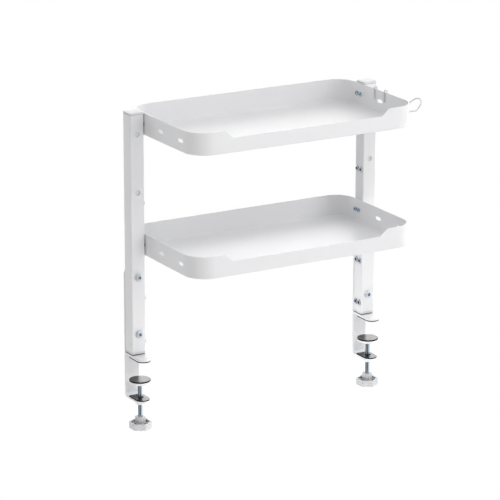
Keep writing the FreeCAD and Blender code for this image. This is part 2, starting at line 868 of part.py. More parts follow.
def build_fasteners(side, rivet_nut, hex_nut, bolt, small_screw, hole_plug):
    name = SIDE_NAMES[side]
    face_x = value(f"{side} * (tray_width / 2 + rivet_flange_height)")
    wall_x = value(f"{side} * (tray_width / 2 - sheet_metal)")
    pair = [value(f"{POST_Y} - rivet_pitch / 2"), value(f"{POST_Y} + rivet_pitch / 2")]
    centre_x = value(post_x(side))

    rivet_places = [
        Placement(Vector(face_x, y, value(f"{POST_BASE} + {row}")), facing(side, False))
        for row in FASTENER_ROWS for y in pair]
    group(f"{name}_rivet_nuts", rivet_nut, rivet_places)

    for tier, row in TRAY_ROWS.items():
        height = value(f"{POST_BASE} + {row}")
        places = [Placement(Vector(wall_x, y, height), facing(side, False)) for y in pair]
        group(f"{name}_{tier}_tray_screws", small_screw, places)

    heights = [value(f"{POST_BASE} + {hole}") for hole in BRACKET_HOLES]
    to_front = Rotation(Vector(0, 0, 1), Vector(0, -1, 0))
    to_rear = Rotation(Vector(0, 0, 1), Vector(0, 1, 0))
    front, rear = value("-tube_size"), value("strap_thickness")
    group(f"{name}_bracket_bolts", bolt,
          [Placement(Vector(centre_x, front, z), to_front) for z in heights])
    group(f"{name}_bracket_nuts", hex_nut,
          [Placement(Vector(centre_x, rear, z), to_rear) for z in heights])

    plug_face = value("-tube_size + hole_plug_recess")
    spare_heights = [value(f"{POST_BASE} + {hole}") for hole in SPARE_HOLES]
    group(f"{name}_hole_plugs", hole_plug,
          [Placement(Vector(centre_x, plug_face, z), to_front) for z in spare_heights])

    screw_y = value(SCREW_Y)
    weld_z = value(f"{LOWER_JAW_BOTTOM} - nut_height")
    group(f"{name}_weld_nut", hex_nut, [Placement(Vector(centre_x, screw_y, weld_z), Rotation())])
    knob_nut_z = value("knob_bottom + 0.5")
    group(f"{name}_knob_nut", hex_nut,
          [Placement(Vector(centre_x, screw_y, knob_nut_z), Rotation())])


def build_side(side):
    name = SIDE_NAMES[side]
    build_post(side)
    build_plug(f"{name}_post_cap", side, "cap_flange", f"{POST_BASE} + tube_length",
               collar="cap_collar")
    build_plug(f"{name}_post_foot", side, "foot_flange", POST_BASE,
               rotation=Rotation(Vector(1, 0, 0), 180))
    build_bracket(side)
    build_jaw_parts(side)
    build_clamp_screw(side)
    build_pressure_disc(side)
    build_disc_pad(side)
    build_retaining_ring(side)
    build_knob(side)


def check_everything():
    """Stop before writing anything if a feature failed or a sub-part isn't sound."""
    doc.recompute()
    for thing in doc.Objects:
        if "Invalid" in thing.State or "Error" in thing.State:
            raise RuntimeError(f"{thing.Name} failed: {thing.State}")
    for thing in sub_parts:
        if thing.Shape.isNull() or not thing.Shape.isValid() or not thing.Shape.Solids:
            raise RuntimeError(f"{thing.Label} isn't a sound solid")


def main():
    rivet_nut = build_rivet_nut()
    hex_nut = build_hex_nut()
    bolt = build_button_screw("bolt_template", "bolt_shank", "bolt_head", "bolt_head_height",
                              "bolt_length", "bolt_key")
    small_screw = build_button_screw("tray_screw_template", "small_shank", "small_head",
                                     "small_head_height", "small_length", "small_key")
    hole_plug = build_hole_plug()
    for side in (LEFT, RIGHT):
        build_side(side)
        build_fasteners(side, rivet_nut, hex_nut, bolt, small_screw, hole_plug)
    for tier in TRAY_ROWS:
        build_tray(tier)
    build_hook()
    check_everything()

    os.makedirs("parts", exist_ok=True)
    for thing in sub_parts:
        thing.Shape.exportStep(f"parts/{thing.Label}.step")
        box = thing.Shape.BoundBox
        print(f"{thing.Label}: {len(thing.Shape.Solids)} solid(s), "
              f"{box.XLength:.1f} x {box.YLength:.1f} x {box.ZLength:.1f}")


main()
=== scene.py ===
from math import atan2, cos, degrees, pi, radians, sin, sqrt, tan

import bmesh
import bpy
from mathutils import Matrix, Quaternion, Vector
from mathutils.geometry import tessellate_polygon


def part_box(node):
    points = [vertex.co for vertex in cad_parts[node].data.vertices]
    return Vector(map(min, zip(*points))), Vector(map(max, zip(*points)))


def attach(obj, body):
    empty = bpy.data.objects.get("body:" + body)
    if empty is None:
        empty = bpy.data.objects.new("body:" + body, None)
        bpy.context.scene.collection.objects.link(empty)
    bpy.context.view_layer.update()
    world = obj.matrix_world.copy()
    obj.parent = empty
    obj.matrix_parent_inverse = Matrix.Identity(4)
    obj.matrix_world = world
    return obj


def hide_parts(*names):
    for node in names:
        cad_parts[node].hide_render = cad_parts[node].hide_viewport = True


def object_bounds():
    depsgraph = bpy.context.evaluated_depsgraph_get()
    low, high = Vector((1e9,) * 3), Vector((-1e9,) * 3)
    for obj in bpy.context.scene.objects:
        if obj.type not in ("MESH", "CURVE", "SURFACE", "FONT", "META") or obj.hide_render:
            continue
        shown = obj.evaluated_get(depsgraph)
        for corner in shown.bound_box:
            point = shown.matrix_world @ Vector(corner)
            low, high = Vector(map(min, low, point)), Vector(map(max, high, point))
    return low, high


# White two-tier desk shelf with screw clamps.  Its lengths are millimetres until a mesh is made;
# MM turns them into Blender's metres, which the materials, the camera, the lights and the floor
# use.  Places come from the CAD nodes' boxes.
MM = 0.001
SIDES = {"left": -1, "right": 1}
SMOOTH_BELOW = radians(32)

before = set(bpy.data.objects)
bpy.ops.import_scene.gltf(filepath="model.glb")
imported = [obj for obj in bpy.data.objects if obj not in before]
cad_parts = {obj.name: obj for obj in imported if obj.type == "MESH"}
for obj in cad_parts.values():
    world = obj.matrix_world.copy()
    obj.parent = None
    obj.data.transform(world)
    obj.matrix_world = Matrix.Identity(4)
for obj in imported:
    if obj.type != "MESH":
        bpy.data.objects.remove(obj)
cad_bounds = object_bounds()


def node_box(node):
    """Lowest and highest corner of a CAD node, in millimetres."""
    low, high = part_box(node)
    return low / MM, high / MM


def middle(low, high):
    """X and Y of a box's middle."""
    return (low.x + high.x) / 2, (low.y + high.y) / 2


def placer(origin, x_axis, y_axis, z_axis):
    """A function that puts local (x, y, z) into space."""
    o, i, j, k = (Vector(v) for v in (origin, x_axis, y_axis, z_axis))
    return lambda x, y, z: o + i * x + j * y + k * z


def upright(origin):
    return placer(origin, (1, 0, 0), (0, 1, 0), (0, 0, 1))


def axis_placer(origin, outward):
    """Local Z along outward, with any fixed pair of axes across it."""
    z_axis = Vector(outward).normalized()
    helper = Vector((0, 0, 1)) if abs(z_axis.z) < 0.5 else Vector((1, 0, 0))
    x_axis = helper.cross(z_axis).normalized()
    return placer(origin, x_axis, z_axis.cross(x_axis), z_axis)


def lift(place, outline, height):
    """A plane outline's points put into space, all at one local height."""
    return [place(u, v, height) for u, v in outline]


# ---------------------------------------------------------------- outlines in a plane

def arc(x, y, radius, start, end, steps):
    """Points on an arc, both ends included; the angles are in degrees."""
    turn = [radians(start + (end - start) * i / steps) for i in range(steps + 1)]
    return [(x + radius * cos(a), y + radius * sin(a)) for a in turn]


def circle_loop(x, y, radius, steps=40):
    """A function of the inset that gives a circle grown by it."""
    return lambda inset=0.0: arc(x, y, radius + inset, 0, 360, steps)[:-1]


def obround_loop(x, y, length, height, steps=14):
    """A round-ended slot along the first axis, grown by the inset."""
    def loop(inset=0.0):
        radius = height / 2 + inset
        reach = (length - height) / 2
        return arc(x + reach, y, radius, -90, 90, steps) + arc(x - reach, y, radius, 90, 270, steps)
    return loop


def rectangle_loop(half_x, half_y, radius, steps=6):
    """A rectangle with round corners, shrunk by the inset."""
    def loop(inset=0.0):
        across, along, size = half_x - inset, half_y - inset, max(radius - inset, 0.05)
        points = []
        for start, (sx, sy) in zip((0, 90, 180, 270), ((1, 1), (-1, 1), (-1, -1), (1, -1))):
            points += arc(sx * (across - size), sy * (along - size), size, start, start + 90, steps)
        return points
    return loop


def rounded(points, radius, steps=4, closed=True):
    """A polyline with each corner replaced by a tangent arc."""
    made = []
    count = len(points)
    for i, point in enumerate(points):
        if not closed and i in (0, count - 1):
            made.append(point)
            continue
        corner = Vector(point)
        back = Vector(points[i - 1]) - corner
        ahead = Vector(points[(i + 1) % count]) - corner
        half = back.angle(ahead) / 2
        reach = min(radius / tan(half), 0.49 * back.length, 0.49 * ahead.length)
        size = reach * tan(half)
        if size < 1e-4:
            made.append(point)
            continue
        centre = corner + (back.normalized() + ahead.normalized()).normalized() * (size / sin(half))
        first = corner + back.normalized() * reach - centre
        last = corner + ahead.normalized() * reach - centre
        turn = first.angle_signed(last)
        for k in range(steps + 1):
            angle = -turn * k / steps
            made.append((centre.x + first.x * cos(angle) - first.y * sin(angle),
                         centre.y + first.x * sin(angle) + first.y * cos(angle)))
    return made


def hexagon_loop(flats, radius, steps=4):
    """A hexagon with two flats square to the first axis, shrunk by the inset."""
    def loop(inset=0.0):
        size = (flats / 2 - inset) * 2 / sqrt(3)
        return rounded(arc(0, 0, size, 30, 330, 5), max(radius - inset, 0.05), steps)
    return loop


def quarter_turn(radius, steps):
    """(inset, depth) pairs that round an edge over, from the face to the side."""
    turn = [radians(90 * k / steps) for k in range(steps + 1)]
    return [(radius * (1 - sin(a)), radius * (1 - cos(a))) for a in turn]


def turned_edge(radius, top, edge, steps):
    """(radius, height) pairs that round a turned part's upper edge, after its first point."""
    return [(radius - inset, top - depth) for depth, inset in quarter_turn(edge, steps)[1:]]


def slab_levels(thickness, edge, steps=3):
    """(inset, depth) pairs that take a plate's side from one face to the other."""
    top = quarter_turn(edge, steps)
    return top + [(inset, thickness - depth) for inset, depth in reversed(top)]


# ---------------------------------------------------------------- one closed piece

class Shell:
    """Gathers a piece's faces in millimetres.  Vertices that coincide are merged at the end."""

    def __init__(self):
        self.points = []
        self.faces = []

    def add(self, points):
        first = len(self.points)
        self.points.extend(Vector(p) for p in points)
        return list(range(first, len(self.points)))

    def strip(self, a, b, closed=True):
        count = len(a)
        for i in range(count if closed else count - 1):
            j = (i + 1) % count
            self.faces.append((a[i], a[j], b[j], b[i]))

    def strips(self, rings, closed=True):
        for a, b in zip(rings, rings[1:]):
            self.strip(a, b, closed)

    def cap(self, ring):
        self.faces.append(tuple(ring))

    def fan(self, ring, tip):
        """Triangles from a ring to the vertex with the index tip."""
        for i, point in enumerate(ring):
            self.faces.append((point, ring[(i + 1) % len(ring)], tip))

    def panel(self, place, height, outline, holes=()):
        """A flat face with holes, from plane outlines put at one height."""
        loops = [lift(place, loop, height) for loop in (outline, *holes)]
        index = self.add([p for loop in loops for p in loop])
        for triangle in tessellate_polygon(loops):
            self.faces.append(tuple(index[i] for i in triangle))

    def wall(self, loop, levels, place, closed=True):
        """A wall that follows a loop through (inset, height) levels; gives back its rings."""
        rings = [self.add(lift(place, loop(inset), height)) for inset, height in levels]
        self.strips(rings, closed)
        return rings

    def plate(self, outline, holes, thickness, edge, place, closed=True):
        """A flat plate with rounded edges; an open outline leaves its straight end unclosed."""
        levels = slab_levels(thickness, edge)
        self.wall(outline, levels, place, closed)
        for hole in holes:
            self.wall(hole, levels, place)
        for depth in (0.0, thickness):
            self.panel(place, depth, outline(edge), [hole(edge) for hole in holes])

    def lathe(self, profile, place, steps=48, closed=False):
        """A turned surface from (radius, height) pairs; a radius of 0 closes it with a fan."""
        rings = []
        for radius, height in profile:
            if radius < 1e-6:
                rings.append(self.add([place(0, 0, height)]))
            else:
                rings.append(self.add(lift(place, circle_loop(0, 0, radius, steps)(), height)))
        if closed:
            rings.append(rings[0])
        for a, b in zip(rings, rings[1:]):
            if len(a) == 1 or len(b) == 1:
                self.fan(*((b, a[0]) if len(a) == 1 else (a, b[0])))
            else:
                self.strip(a, b)

    def build(self, name, body, material, slot, nodes=()):
        """Make the mesh object, ride it on its body and let it stand for its CAD nodes."""
        mesh = bpy.data.meshes.new(name)
        mesh.from_pydata([p * MM for p in self.points], [], self.faces)
        work = bmesh.new()
        work.from_mesh(mesh)
        bmesh.ops.remove_doubles(work, verts=work.verts, dist=0.002 * MM)
        bmesh.ops.dissolve_degenerate(work, edges=work.edges, dist=0.0005 * MM)
        bmesh.ops.recalc_face_normals(work, faces=work.faces)
        for face in work.faces:
            face.smooth = True
        for edge in work.edges:
            edge.smooth = edge.calc_face_angle(0.0) < SMOOTH_BELOW
        work.to_mesh(mesh)
        work.free()
        piece = bpy.data.objects.new(name, mesh)
        bpy.context.scene.collection.objects.link(piece)
        mesh.materials.append(material)
        normals = piece.modifiers.new("even_normals", "WEIGHTED_NORMAL")
        normals.keep_sharp = True
        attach(piece, body)
        if nodes:
            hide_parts(*nodes)


# ---------------------------------------------------------------- materials

# Painted shade for recesses: the colour that surfaces go to where their surroundings shut them in,
# and the shares of open surroundings at which that shade is complete and where it begins to fade.
SHADE_BLACK = (0.008, 0.009, 0.010)
SHUT = 0.30
CLEAR = 0.62


def fill(node, values):
    """Set a node's named inputs."""
    for name, value in values.items():
        node.inputs[name].default_value = value


class Tree:
    """A short way to write a node tree."""

    def __init__(self, tree):
        self.tree = tree

    def new(self, kind, values=None, **settings):
        node = self.tree.nodes.new(kind)
        for name, setting in settings.items():
            setattr(node, name, setting)
        fill(node, values or {})
        return node

    def link(self, source, target):
        self.tree.links.new(source, target)

    def map_range(self, source, from_low, from_high, low=0.0, high=1.0):
        node = self.new("ShaderNodeMapRange", {"From Min": from_low, "From Max": from_high,
                                               "To Min": low, "To Max": high})
        self.link(source, node.inputs["Value"])
        return node.outputs["Result"]

    def choose(self, ray, otherwise, chosen):
        """One shader for rays of the named kind, and another for all the rest."""
        node = self.new("ShaderNodeMixShader")
        self.link(self.new("ShaderNodeLightPath").outputs[ray], node.inputs["Fac"])
        self.link(otherwise, node.inputs[1])
        self.link(chosen, node.inputs[2])
        return node.outputs["Shader"]


class Nodes(Tree):
    """A material's node tree, with the textures that the materials share."""

    def __init__(self, name):
        self.material = bpy.data.materials.new(name)
        self.material.use_nodes = True
        super().__init__(self.material.node_tree)
        self.shader = self.tree.nodes["Principled BSDF"]
        self.position = self.new("ShaderNodeTexCoord").outputs["Object"]

    def noise(self, scale, detail=2.0, stretch=None):
        """Noise whose features are about 1 / scale metres across."""
        texture = self.new("ShaderNodeTexNoise", {"Scale": scale, "Detail": detail})
        source = self.position
        if stretch:
            mapping = self.new("ShaderNodeMapping", {"Scale": stretch})
            self.link(source, mapping.inputs["Vector"])
            source = mapping.outputs["Vector"]
        self.link(source, texture.inputs["Vector"])
        return texture.outputs["Fac"]

    def span(self, source, low, high):
        """The source's middle range spread over low to high."""
        return self.map_range(source, 0.3, 0.7, low, high)

    def blend_colours(self, source, first, second):
        node = self.new("ShaderNodeMix", {"A": (*first, 1), "B": (*second, 1)}, data_type="RGBA")
        self.link(source, node.inputs["Factor"])
        return node.outputs["Result"]

    def paint_recess_shade(self, tint, reach, shade_colour, shut, clear):
        """The tint with painted shade: it goes to the shade colour where surfaces within reach
        metres shut it in.

        shut and clear are the shares of open surroundings at which the change ends and starts.
        """
        openness = self.new("ShaderNodeAmbientOcclusion", {"Distance": reach}, samples=8)
        node = self.new("ShaderNodeMix", {"A": (*shade_colour, 1)}, data_type="RGBA")
        self.link(self.map_range(openness.outputs["AO"], shut, clear), node.inputs["Factor"])
        self.link(tint, node.inputs["B"])
        return node.outputs["Result"]

    def bump(self, source, height, before=None):
        """Relief whose full height is given in metres."""
        node = self.new("ShaderNodeBump", {"Strength": 1.0, "Distance": height})
        self.link(source, node.inputs["Height"])
        if before is not None:
            self.link(before, node.inputs["Normal"])
        return node.outputs["Normal"]


def painted(name, colour, roughness, grain=1400.0, relief=0.000012, reach=None):
    """Powder coat or moulded plastic: fine orange peel over a slow, faint mottling; with a reach,
    painted shade darkens its recesses.
    """
    nodes = Nodes(name)
    slow = nodes.noise(14.0, 3.0)
    darker = tuple(c * 0.975 for c in colour)
    tint = nodes.blend_colours(slow, darker, colour)
    if reach:
        tint = nodes.paint_recess_shade(tint, reach, SHADE_BLACK, SHUT, CLEAR)
    nodes.link(tint, nodes.shader.inputs["Base Color"])
    patchy = nodes.noise(90.0, 4.0)
    nodes.link(nodes.span(patchy, roughness - 0.04, roughness + 0.04),
               nodes.shader.inputs["Roughness"])
    peel = nodes.bump(nodes.noise(grain, 2.0), relief)
    ripple = nodes.bump(nodes.noise(260.0, 1.0), relief * 1.5, peel)
    nodes.link(ripple, nodes.shader.inputs["Normal"])
    fill(nodes.shader, {"Specular IOR Level": 0.4})
    return nodes.material


def plated(name, colour, roughness, stretch, reach=None, shade_colour=SHADE_BLACK,
           shut=SHUT, clear=CLEAR, metallic=1.0):
    """Zinc-plated steel with fine drawn lines; with a reach, painted shade darkens deep recesses.
    """
    nodes = Nodes(name)
    cloud = nodes.noise(300.0, 3.0)
    cooler = (colour[0] * 0.90, colour[1] * 0.93, colour[2] * 0.96)
    tint = nodes.blend_colours(cloud, cooler, colour)
    if reach:
        tint = nodes.paint_recess_shade(tint, reach, shade_colour, shut, clear)
    nodes.link(tint, nodes.shader.inputs["Base Color"])
    lines = nodes.noise(900.0, 3.0, stretch)
    nodes.link(nodes.span(lines, roughness - 0.05, roughness + 0.06),
               nodes.shader.inputs["Roughness"])
    nodes.link(nodes.bump(lines, 0.000004), nodes.shader.inputs["Normal"])
    fill(nodes.shader, {"Metallic": metallic})
    return nodes.material


def rubbery(name, colour, roughness):
    """Black rubber: a smooth faintly pebbled skin with dull patches, and dull cut edges."""
    nodes = Nodes(name)
    slow = nodes.noise(120.0, 4.0)
    lighter = tuple(min(1.0, c * 1.7 + 0.004) for c in colour)
    nodes.link(nodes.blend_colours(slow, colour, lighter), nodes.shader.inputs["Base Color"])
    nodes.link(nodes.span(slow, roughness - 0.04, roughness + 0.05),
               nodes.shader.inputs["Roughness"])
    nodes.link(nodes.bump(nodes.noise(2400.0, 2.0), 0.000003), nodes.shader.inputs["Normal"])
    facing = nodes.new("ShaderNodeSeparateXYZ")
    nodes.link(nodes.new("ShaderNodeNewGeometry").outputs["Normal"], facing.inputs["Vector"])
    sheen = nodes.span(facing.outputs["Z"], 0.06, 0.5)
    nodes.link(sheen, nodes.shader.inputs["Specular IOR Level"])
    return nodes.material


COAT = painted("powder_coat", (0.80, 0.80, 0.81), 0.42, relief=0.000007)
# Painted shade: the jaw plate goes black where other surfaces sit close over it, which draws the
# shadow line under the post's foot plug.
JAW_COAT = painted("jaw_powder_coat", (0.80, 0.80, 0.81), 0.42, relief=0.000007, reach=0.005)
WIRE_COAT = painted("wire_coat", (0.66, 0.66, 0.67), 0.34, grain=1800.0, relief=0.000006)
PLUG = painted("plug_plastic", (0.73, 0.73, 0.74), 0.50, grain=2200.0, relief=0.000006)
# Painted shade: the cap and foot plugs go black where they sit close to the post and the jaw,
# drawing the dark line at their joints.
CAP = painted("cap_plastic", (0.69, 0.69, 0.70), 0.50, grain=2200.0, relief=0.000006,
              reach=0.003)
# Painted shade: the knob goes dark inside its pockets round the hub.
KNOB = painted("knob_plastic", (0.52, 0.52, 0.53), 0.44, grain=2400.0, relief=0.000005,
               reach=0.006)
ZINC = plated("bright_zinc", (0.58, 0.67, 0.76), 0.18, (1.0, 1.0, 6.0))
ZINC_ROD = plated("zinc_rod", (0.60, 0.69, 0.77), 0.12, (6.0, 6.0, 0.6))
# Painted shade: the rivet nuts' bores go black, leaving a light rim.
INSERT_ZINC = plated("insert_zinc", (0.74, 0.80, 0.86), 0.30, (1.0, 1.0, 6.0), reach=0.006,
                     shut=0.60, clear=0.92)
# Painted shade: the bolt heads' hex sockets go dark grey.
BOLT_ZINC = plated("bolt_zinc", (0.80, 0.84, 0.88), 0.30, (1.0, 1.0, 6.0), reach=0.006,
                   shade_colour=(0.24, 0.28, 0.32), metallic=0.6)
RUBBER = rubbery("black_rubber", (0.003, 0.003, 0.0035), 0.34)


# ---------------------------------------------------------------- trays

SHEET = 1.2
TRAY_CORNER = 36.5
TRAY_BEND = 1.6
FLOOR_BEND = 0.7
LIP_HEIGHT = 24.3
NOTCH_TOP = 150.6
NOTCH_BOTTOM = 136.8
NOTCH_ROUND = 8.0
SLOT_LENGTH = 15.5
SLOT_HEIGHT = 5.4
SLOT_PITCH = 65.0
SLOT_EDGE = 0.25
RIM_EDGE = 0.4


def tray_stations(half_x, half_y, height):
    """The wall's course as seen from above: (x, y, outward x, outward y, rim height)."""
    rim = rounded([(-half_x, height), (-NOTCH_TOP, height), (-NOTCH_BOTTOM, LIP_HEIGHT),
                   (NOTCH_BOTTOM, LIP_HEIGHT), (NOTCH_TOP, height), (half_x, height)],
                  NOTCH_ROUND, 8, closed=False)
    reach = half_x - TRAY_CORNER
    stations = [(x, -half_y, 0.0, -1.0, z) for x, z in rim[1:-1]]
    corners = ((1, -1, -90), (1, 1, 0), (-1, 1, 90), (-1, -1, 180))
    for sx, sy, start in corners:
        for k in range(17):
            angle = radians(start + 90 * k / 16)
            stations.append((sx * reach + TRAY_CORNER * cos(angle),
                             sy * (half_y - TRAY_CORNER) + TRAY_CORNER * sin(angle),
                             cos(angle), sin(angle), height))
    return stations


def build_tray(tier):
    """Folded and drawn sheet tray: one closed skin with a rounded rim and bent floor edge."""
    node = f"{tier}_tray"
    low, high = node_box(node)
    centre = (low + high) / 2
    half_x, half_y, height = (high.x - low.x) / 2, (high.y - low.y) / 2, high.z - low.z
    stations = tray_stations(half_x, half_y, height)
    outer_bend = quarter_turn(TRAY_BEND, 5)
    inner_bend = [(SHEET + inset, SHEET + level)
                  for inset, level in reversed(quarter_turn(FLOOR_BEND, 4))]
    rim_turn = quarter_turn(RIM_EDGE, 3)
    shell = Shell()

    def ring(inset, level, from_rim):
        points = []
        for x, y, nx, ny, rim in stations:
            z = rim - level if from_rim else level
            points.append((centre.x + x - nx * inset, centre.y + y - ny * inset, low.z + z))
        return shell.add(points)

    outside = [ring(inset, level, False) for inset, level in outer_bend]
    over_rim = [ring(inset, depth, True) for inset, depth in reversed(rim_turn)]
    down_rim = [ring(SHEET - inset, depth, True) for inset, depth in rim_turn]
    inside = [ring(inset, level, False) for inset, level in inner_bend]
    shell.strips(outside)
    shell.strips(over_rim + down_rim)
    shell.strips(inside)
    wall_pairs = ((outside[-1], over_rim[0]), (inside[0], down_rim[-1]))
    straight = [i for i, (x, y, nx, ny, rim) in enumerate(stations)
                if abs(abs(nx) - 1) < 1e-6
                and abs(abs(stations[(i + 1) % len(stations)][2]) - 1) < 1e-6]
    for bottom, top in wall_pairs:
        for i in range(len(stations)):
            j = (i + 1) % len(stations)
            if i not in straight:
                shell.faces.append((bottom[i], bottom[j], top[j], top[i]))
    levels = slab_levels(SHEET, SLOT_EDGE)
    slots = [obround_loop(step * SLOT_PITCH, height / 2, SLOT_LENGTH, SLOT_HEIGHT)
             for step in (-1, 0, 1)]
    for sx in (-1, 1):
        place = placer((centre.x + sx * half_x, centre.y, low.z), (0, 1, 0), (0, 0, 1),
                       (-sx, 0, 0))
        reach = half_y - TRAY_CORNER
        faces = ((0.0, TRAY_BEND, height - RIM_EDGE),
                 (SHEET, SHEET + FLOOR_BEND, height - RIM_EDGE))
        for depth, bottom, top in faces:
            outline = [(-reach, bottom), (reach, bottom), (reach, top), (-reach, top)]
            shell.panel(place, depth, outline, [slot(SLOT_EDGE) for slot in slots])
        for slot in slots:
            shell.wall(slot, levels, place)
    shell.cap(outside[0])
    shell.cap(inside[-1])
    shell.build(f"{tier}_tray_skin", "shelf", COAT, "powder_coat", [node])


# ---------------------------------------------------------------- posts

TUBE_WALL = 1.5
TUBE_CORNER = 2.5
BOLT_HOLE = 9.0
SLEEVE = 12.0
BRACKET_HOLES = (30.2, 126.2)
SPARE_HOLES = (267.2, 363.2)
RIVET_ROWS = (15.2, 89.2, 178.2, 248.2, 378.2)
RIVET_PITCH = 10.6
RIVET_HOLE = 7.1
PLUG_DEPTH = 9.0
PLUG_EDGE = 0.75
CAP_FLANGE = 3.5
CAP_COLLAR = 0.5
CAP_CROWN = 0.25
PLUG_GAP = 0.1
SKIRT_CORNER = 1.1
COLLAR_INSET = 0.8
FLANGE_CHAMFER = 0.2
FOOT_FLANGE = 4.0
PRESS_EDGE = 0.35
PRESS_RIM = 1.4
PRESS_DISH = 0.25
HOLE_EDGE = 0.3


def build_post(name, side):
    """Square tube with round corners and softly broken hole edges."""
    low, high = node_box(f"{name}_post")
    centre = (low + high) / 2
    half, length = (high.x - low.x) / 2, high.z - low.z
    shell = Shell()
    outer = rectangle_loop(half, half, TUBE_CORNER)()
    inner = rectangle_loop(half - TUBE_WALL, half - TUBE_WALL, TUBE_CORNER - TUBE_WALL)()
    place = upright((centre.x, centre.y, low.z))
    rings = [[shell.add(lift(place, loop, z)) for z in (0.0, length)]
             for loop in (outer, inner)]
    steps = len(outer) // 4
    for bottom, top in rings:
        for i in range(len(outer)):
            j = (i + 1) % len(outer)
            if i % steps != steps - 1:
                shell.faces.append((bottom[i], bottom[j], top[j], top[i]))
    shell.strip(rings[0][0], rings[1][0])
    shell.strip(rings[0][1], rings[1][1])
    heights = BRACKET_HOLES + SPARE_HOLES
    bolts = [circle_loop(0, z, BOLT_HOLE / 2) for z in heights]
    sleeves = [circle_loop(0, z, SLEEVE / 2) for z in heights]
    rivets = [circle_loop(y, z, RIVET_HOLE / 2, 24)
              for z in RIVET_ROWS for y in (-RIVET_PITCH / 2, RIVET_PITCH / 2)]
    base = Vector((centre.x, centre.y, low.z))
    reach = half - TUBE_CORNER
    outline = [(-reach, 0), (reach, 0), (reach, length), (-reach, length)]

    def tube_face(outward, across, depth, loops):
        face = placer(base + outward * half, across, (0, 0, 1), -outward)
        shell.panel(face, depth, outline, loops)
        return face

    forward = Vector((0, -1, 0))
    for outward in (forward, -forward):
        tube_face(outward, Vector((1, 0, 0)), 0.0, [bolt(HOLE_EDGE) for bolt in bolts])
        tube_face(outward, Vector((1, 0, 0)), TUBE_WALL, [sleeve() for sleeve in sleeves])
    through = placer(base + forward * half, (1, 0, 0), (0, 0, 1), -forward)
    for bolt, sleeve in zip(bolts, sleeves):
        shell.wall(bolt, slab_levels(2 * half, HOLE_EDGE), through)
        shell.wall(sleeve, [(0, TUBE_WALL), (0, 2 * half - TUBE_WALL)], through)
    inward, along = Vector((-side, 0, 0)), Vector((0, 1, 0))
    face = tube_face(inward, along, 0.0, [rivet(HOLE_EDGE) for rivet in rivets])
    tube_face(inward, along, TUBE_WALL, [rivet(HOLE_EDGE) for rivet in rivets])
    for rivet in rivets:
        shell.wall(rivet, slab_levels(TUBE_WALL, HOLE_EDGE), face)
    for depth in (0.0, TUBE_WALL):
        tube_face(-inward, along, depth, [])
    shell.build(f"{name}_post_tube", "shelf", COAT, "powder_coat", [f"{name}_post"])


def build_plug(name, part, way, flange, collar=0.0):
    """End plug: a solid skirt, perhaps a recessed collar, and a soft-edged flange."""
    node = f"{name}_post_{part}"
    low, high = node_box(node)
    centre = (low + high) / 2
    half = (high.x - low.x) / 2
    seat = high.z - flange - collar if way > 0 else low.z + flange + collar
    place = placer((centre.x, centre.y, seat), (1, 0, 0), (0, 1, 0), (0, 0, way))
    skirt = half - TUBE_WALL - PLUG_GAP
    crown = CAP_CROWN if way > 0 else 0.0
    levels = [(skirt, -PLUG_DEPTH, SKIRT_CORNER), (skirt, 0.0, SKIRT_CORNER)]
    if collar:
        levels += [(half - COLLAR_INSET, z, TUBE_CORNER - COLLAR_INSET) for z in (0.0, collar)]
    levels += [(half - FLANGE_CHAMFER, collar, TUBE_CORNER - FLANGE_CHAMFER),
               (half, collar + FLANGE_CHAMFER, TUBE_CORNER)]
    top = collar + flange - crown
    for depth, inset in quarter_turn(PLUG_EDGE, 4):
        levels.append((half - inset, top - depth, TUBE_CORNER - inset))
    if crown:
        for share in (0.75, 0.5, 0.25):
            levels.append(((half - PLUG_EDGE) * share, top + crown * (1 - share ** 2), 1.7 * share))
    shell = Shell()
    rings = [shell.add(lift(place, rectangle_loop(size, size, radius)(), z))
             for size, z, radius in levels]
    shell.strips(rings)
    shell.cap(rings[0])
    shell.cap(rings[-1])
    shell.build(f"{name}_{part}_plug", "shelf", CAP, "white_plastic", [node])


def build_hole_plugs(name):
    """Two press-in plugs, set back a little in the front of the spare bolt holes."""
    node = f"{name}_hole_plugs"
    low, high = node_box(node)
    post_low, _ = node_box(f"{name}_post")
    length, radius = high.y - low.y, BOLT_HOLE / 2
    profile = [(0, -length), (radius, -length), (radius, -PRESS_EDGE)]
    profile += turned_edge(radius, 0.0, PRESS_EDGE, 3)
    profile += [(radius - PRESS_RIM, 0.0), (radius - PRESS_RIM - 0.4, -PRESS_DISH),
                (0, -PRESS_DISH)]
    shell = Shell()
    for z in SPARE_HOLES:
        place = axis_placer(((low.x + high.x) / 2, low.y, post_low.z + z), (0, -1, 0))
        shell.lathe(profile, place, 40)
    shell.build(f"{name}_press_plugs", "shelf", PLUG, "white_plastic", [node])


# ---------------------------------------------------------------- fasteners

TRAY_SCREW = {"head": 8.6, "height": 2.7, "shank": 4.9, "length": 11.0, "key": 3.0}
BRACKET_BOLT = {"head": 13.6, "height": 4.2, "shank": 7.9, "key": 5.0}
# Radius, and height above the post's face, round the section from the barrel's far end.
RIVET_NUT = ((2.5, -11.0), (3.5, -11.0), (3.5, -4.1), (4.7, -2.8), (4.4, -1.5), (3.5, -1.5),
             (3.5, 0.0), (4.8, 0.0), (5.0, 0.25), (5.0, 0.9), (4.85, 1.25), (4.45, 1.5),
             (3.0, 1.5), (2.5, 1.0))
NUT_CHAMFER = 0.6
SCREW_RADIUS = 3.95
SCREW_TIP = 0.8
THREAD_PITCH = 1.25
THREAD_DEPTH = 0.05
THREAD_CREST = 2.6


def hexagon_reach(angle, turn, flats, corner):
    """How far a hexagon reaches at an angle, its corners cut back; turn is in degrees."""
    local = (angle - radians(turn) + pi / 6) % (pi / 3) - pi / 6
    return min(flats / 2 / cos(local), corner)


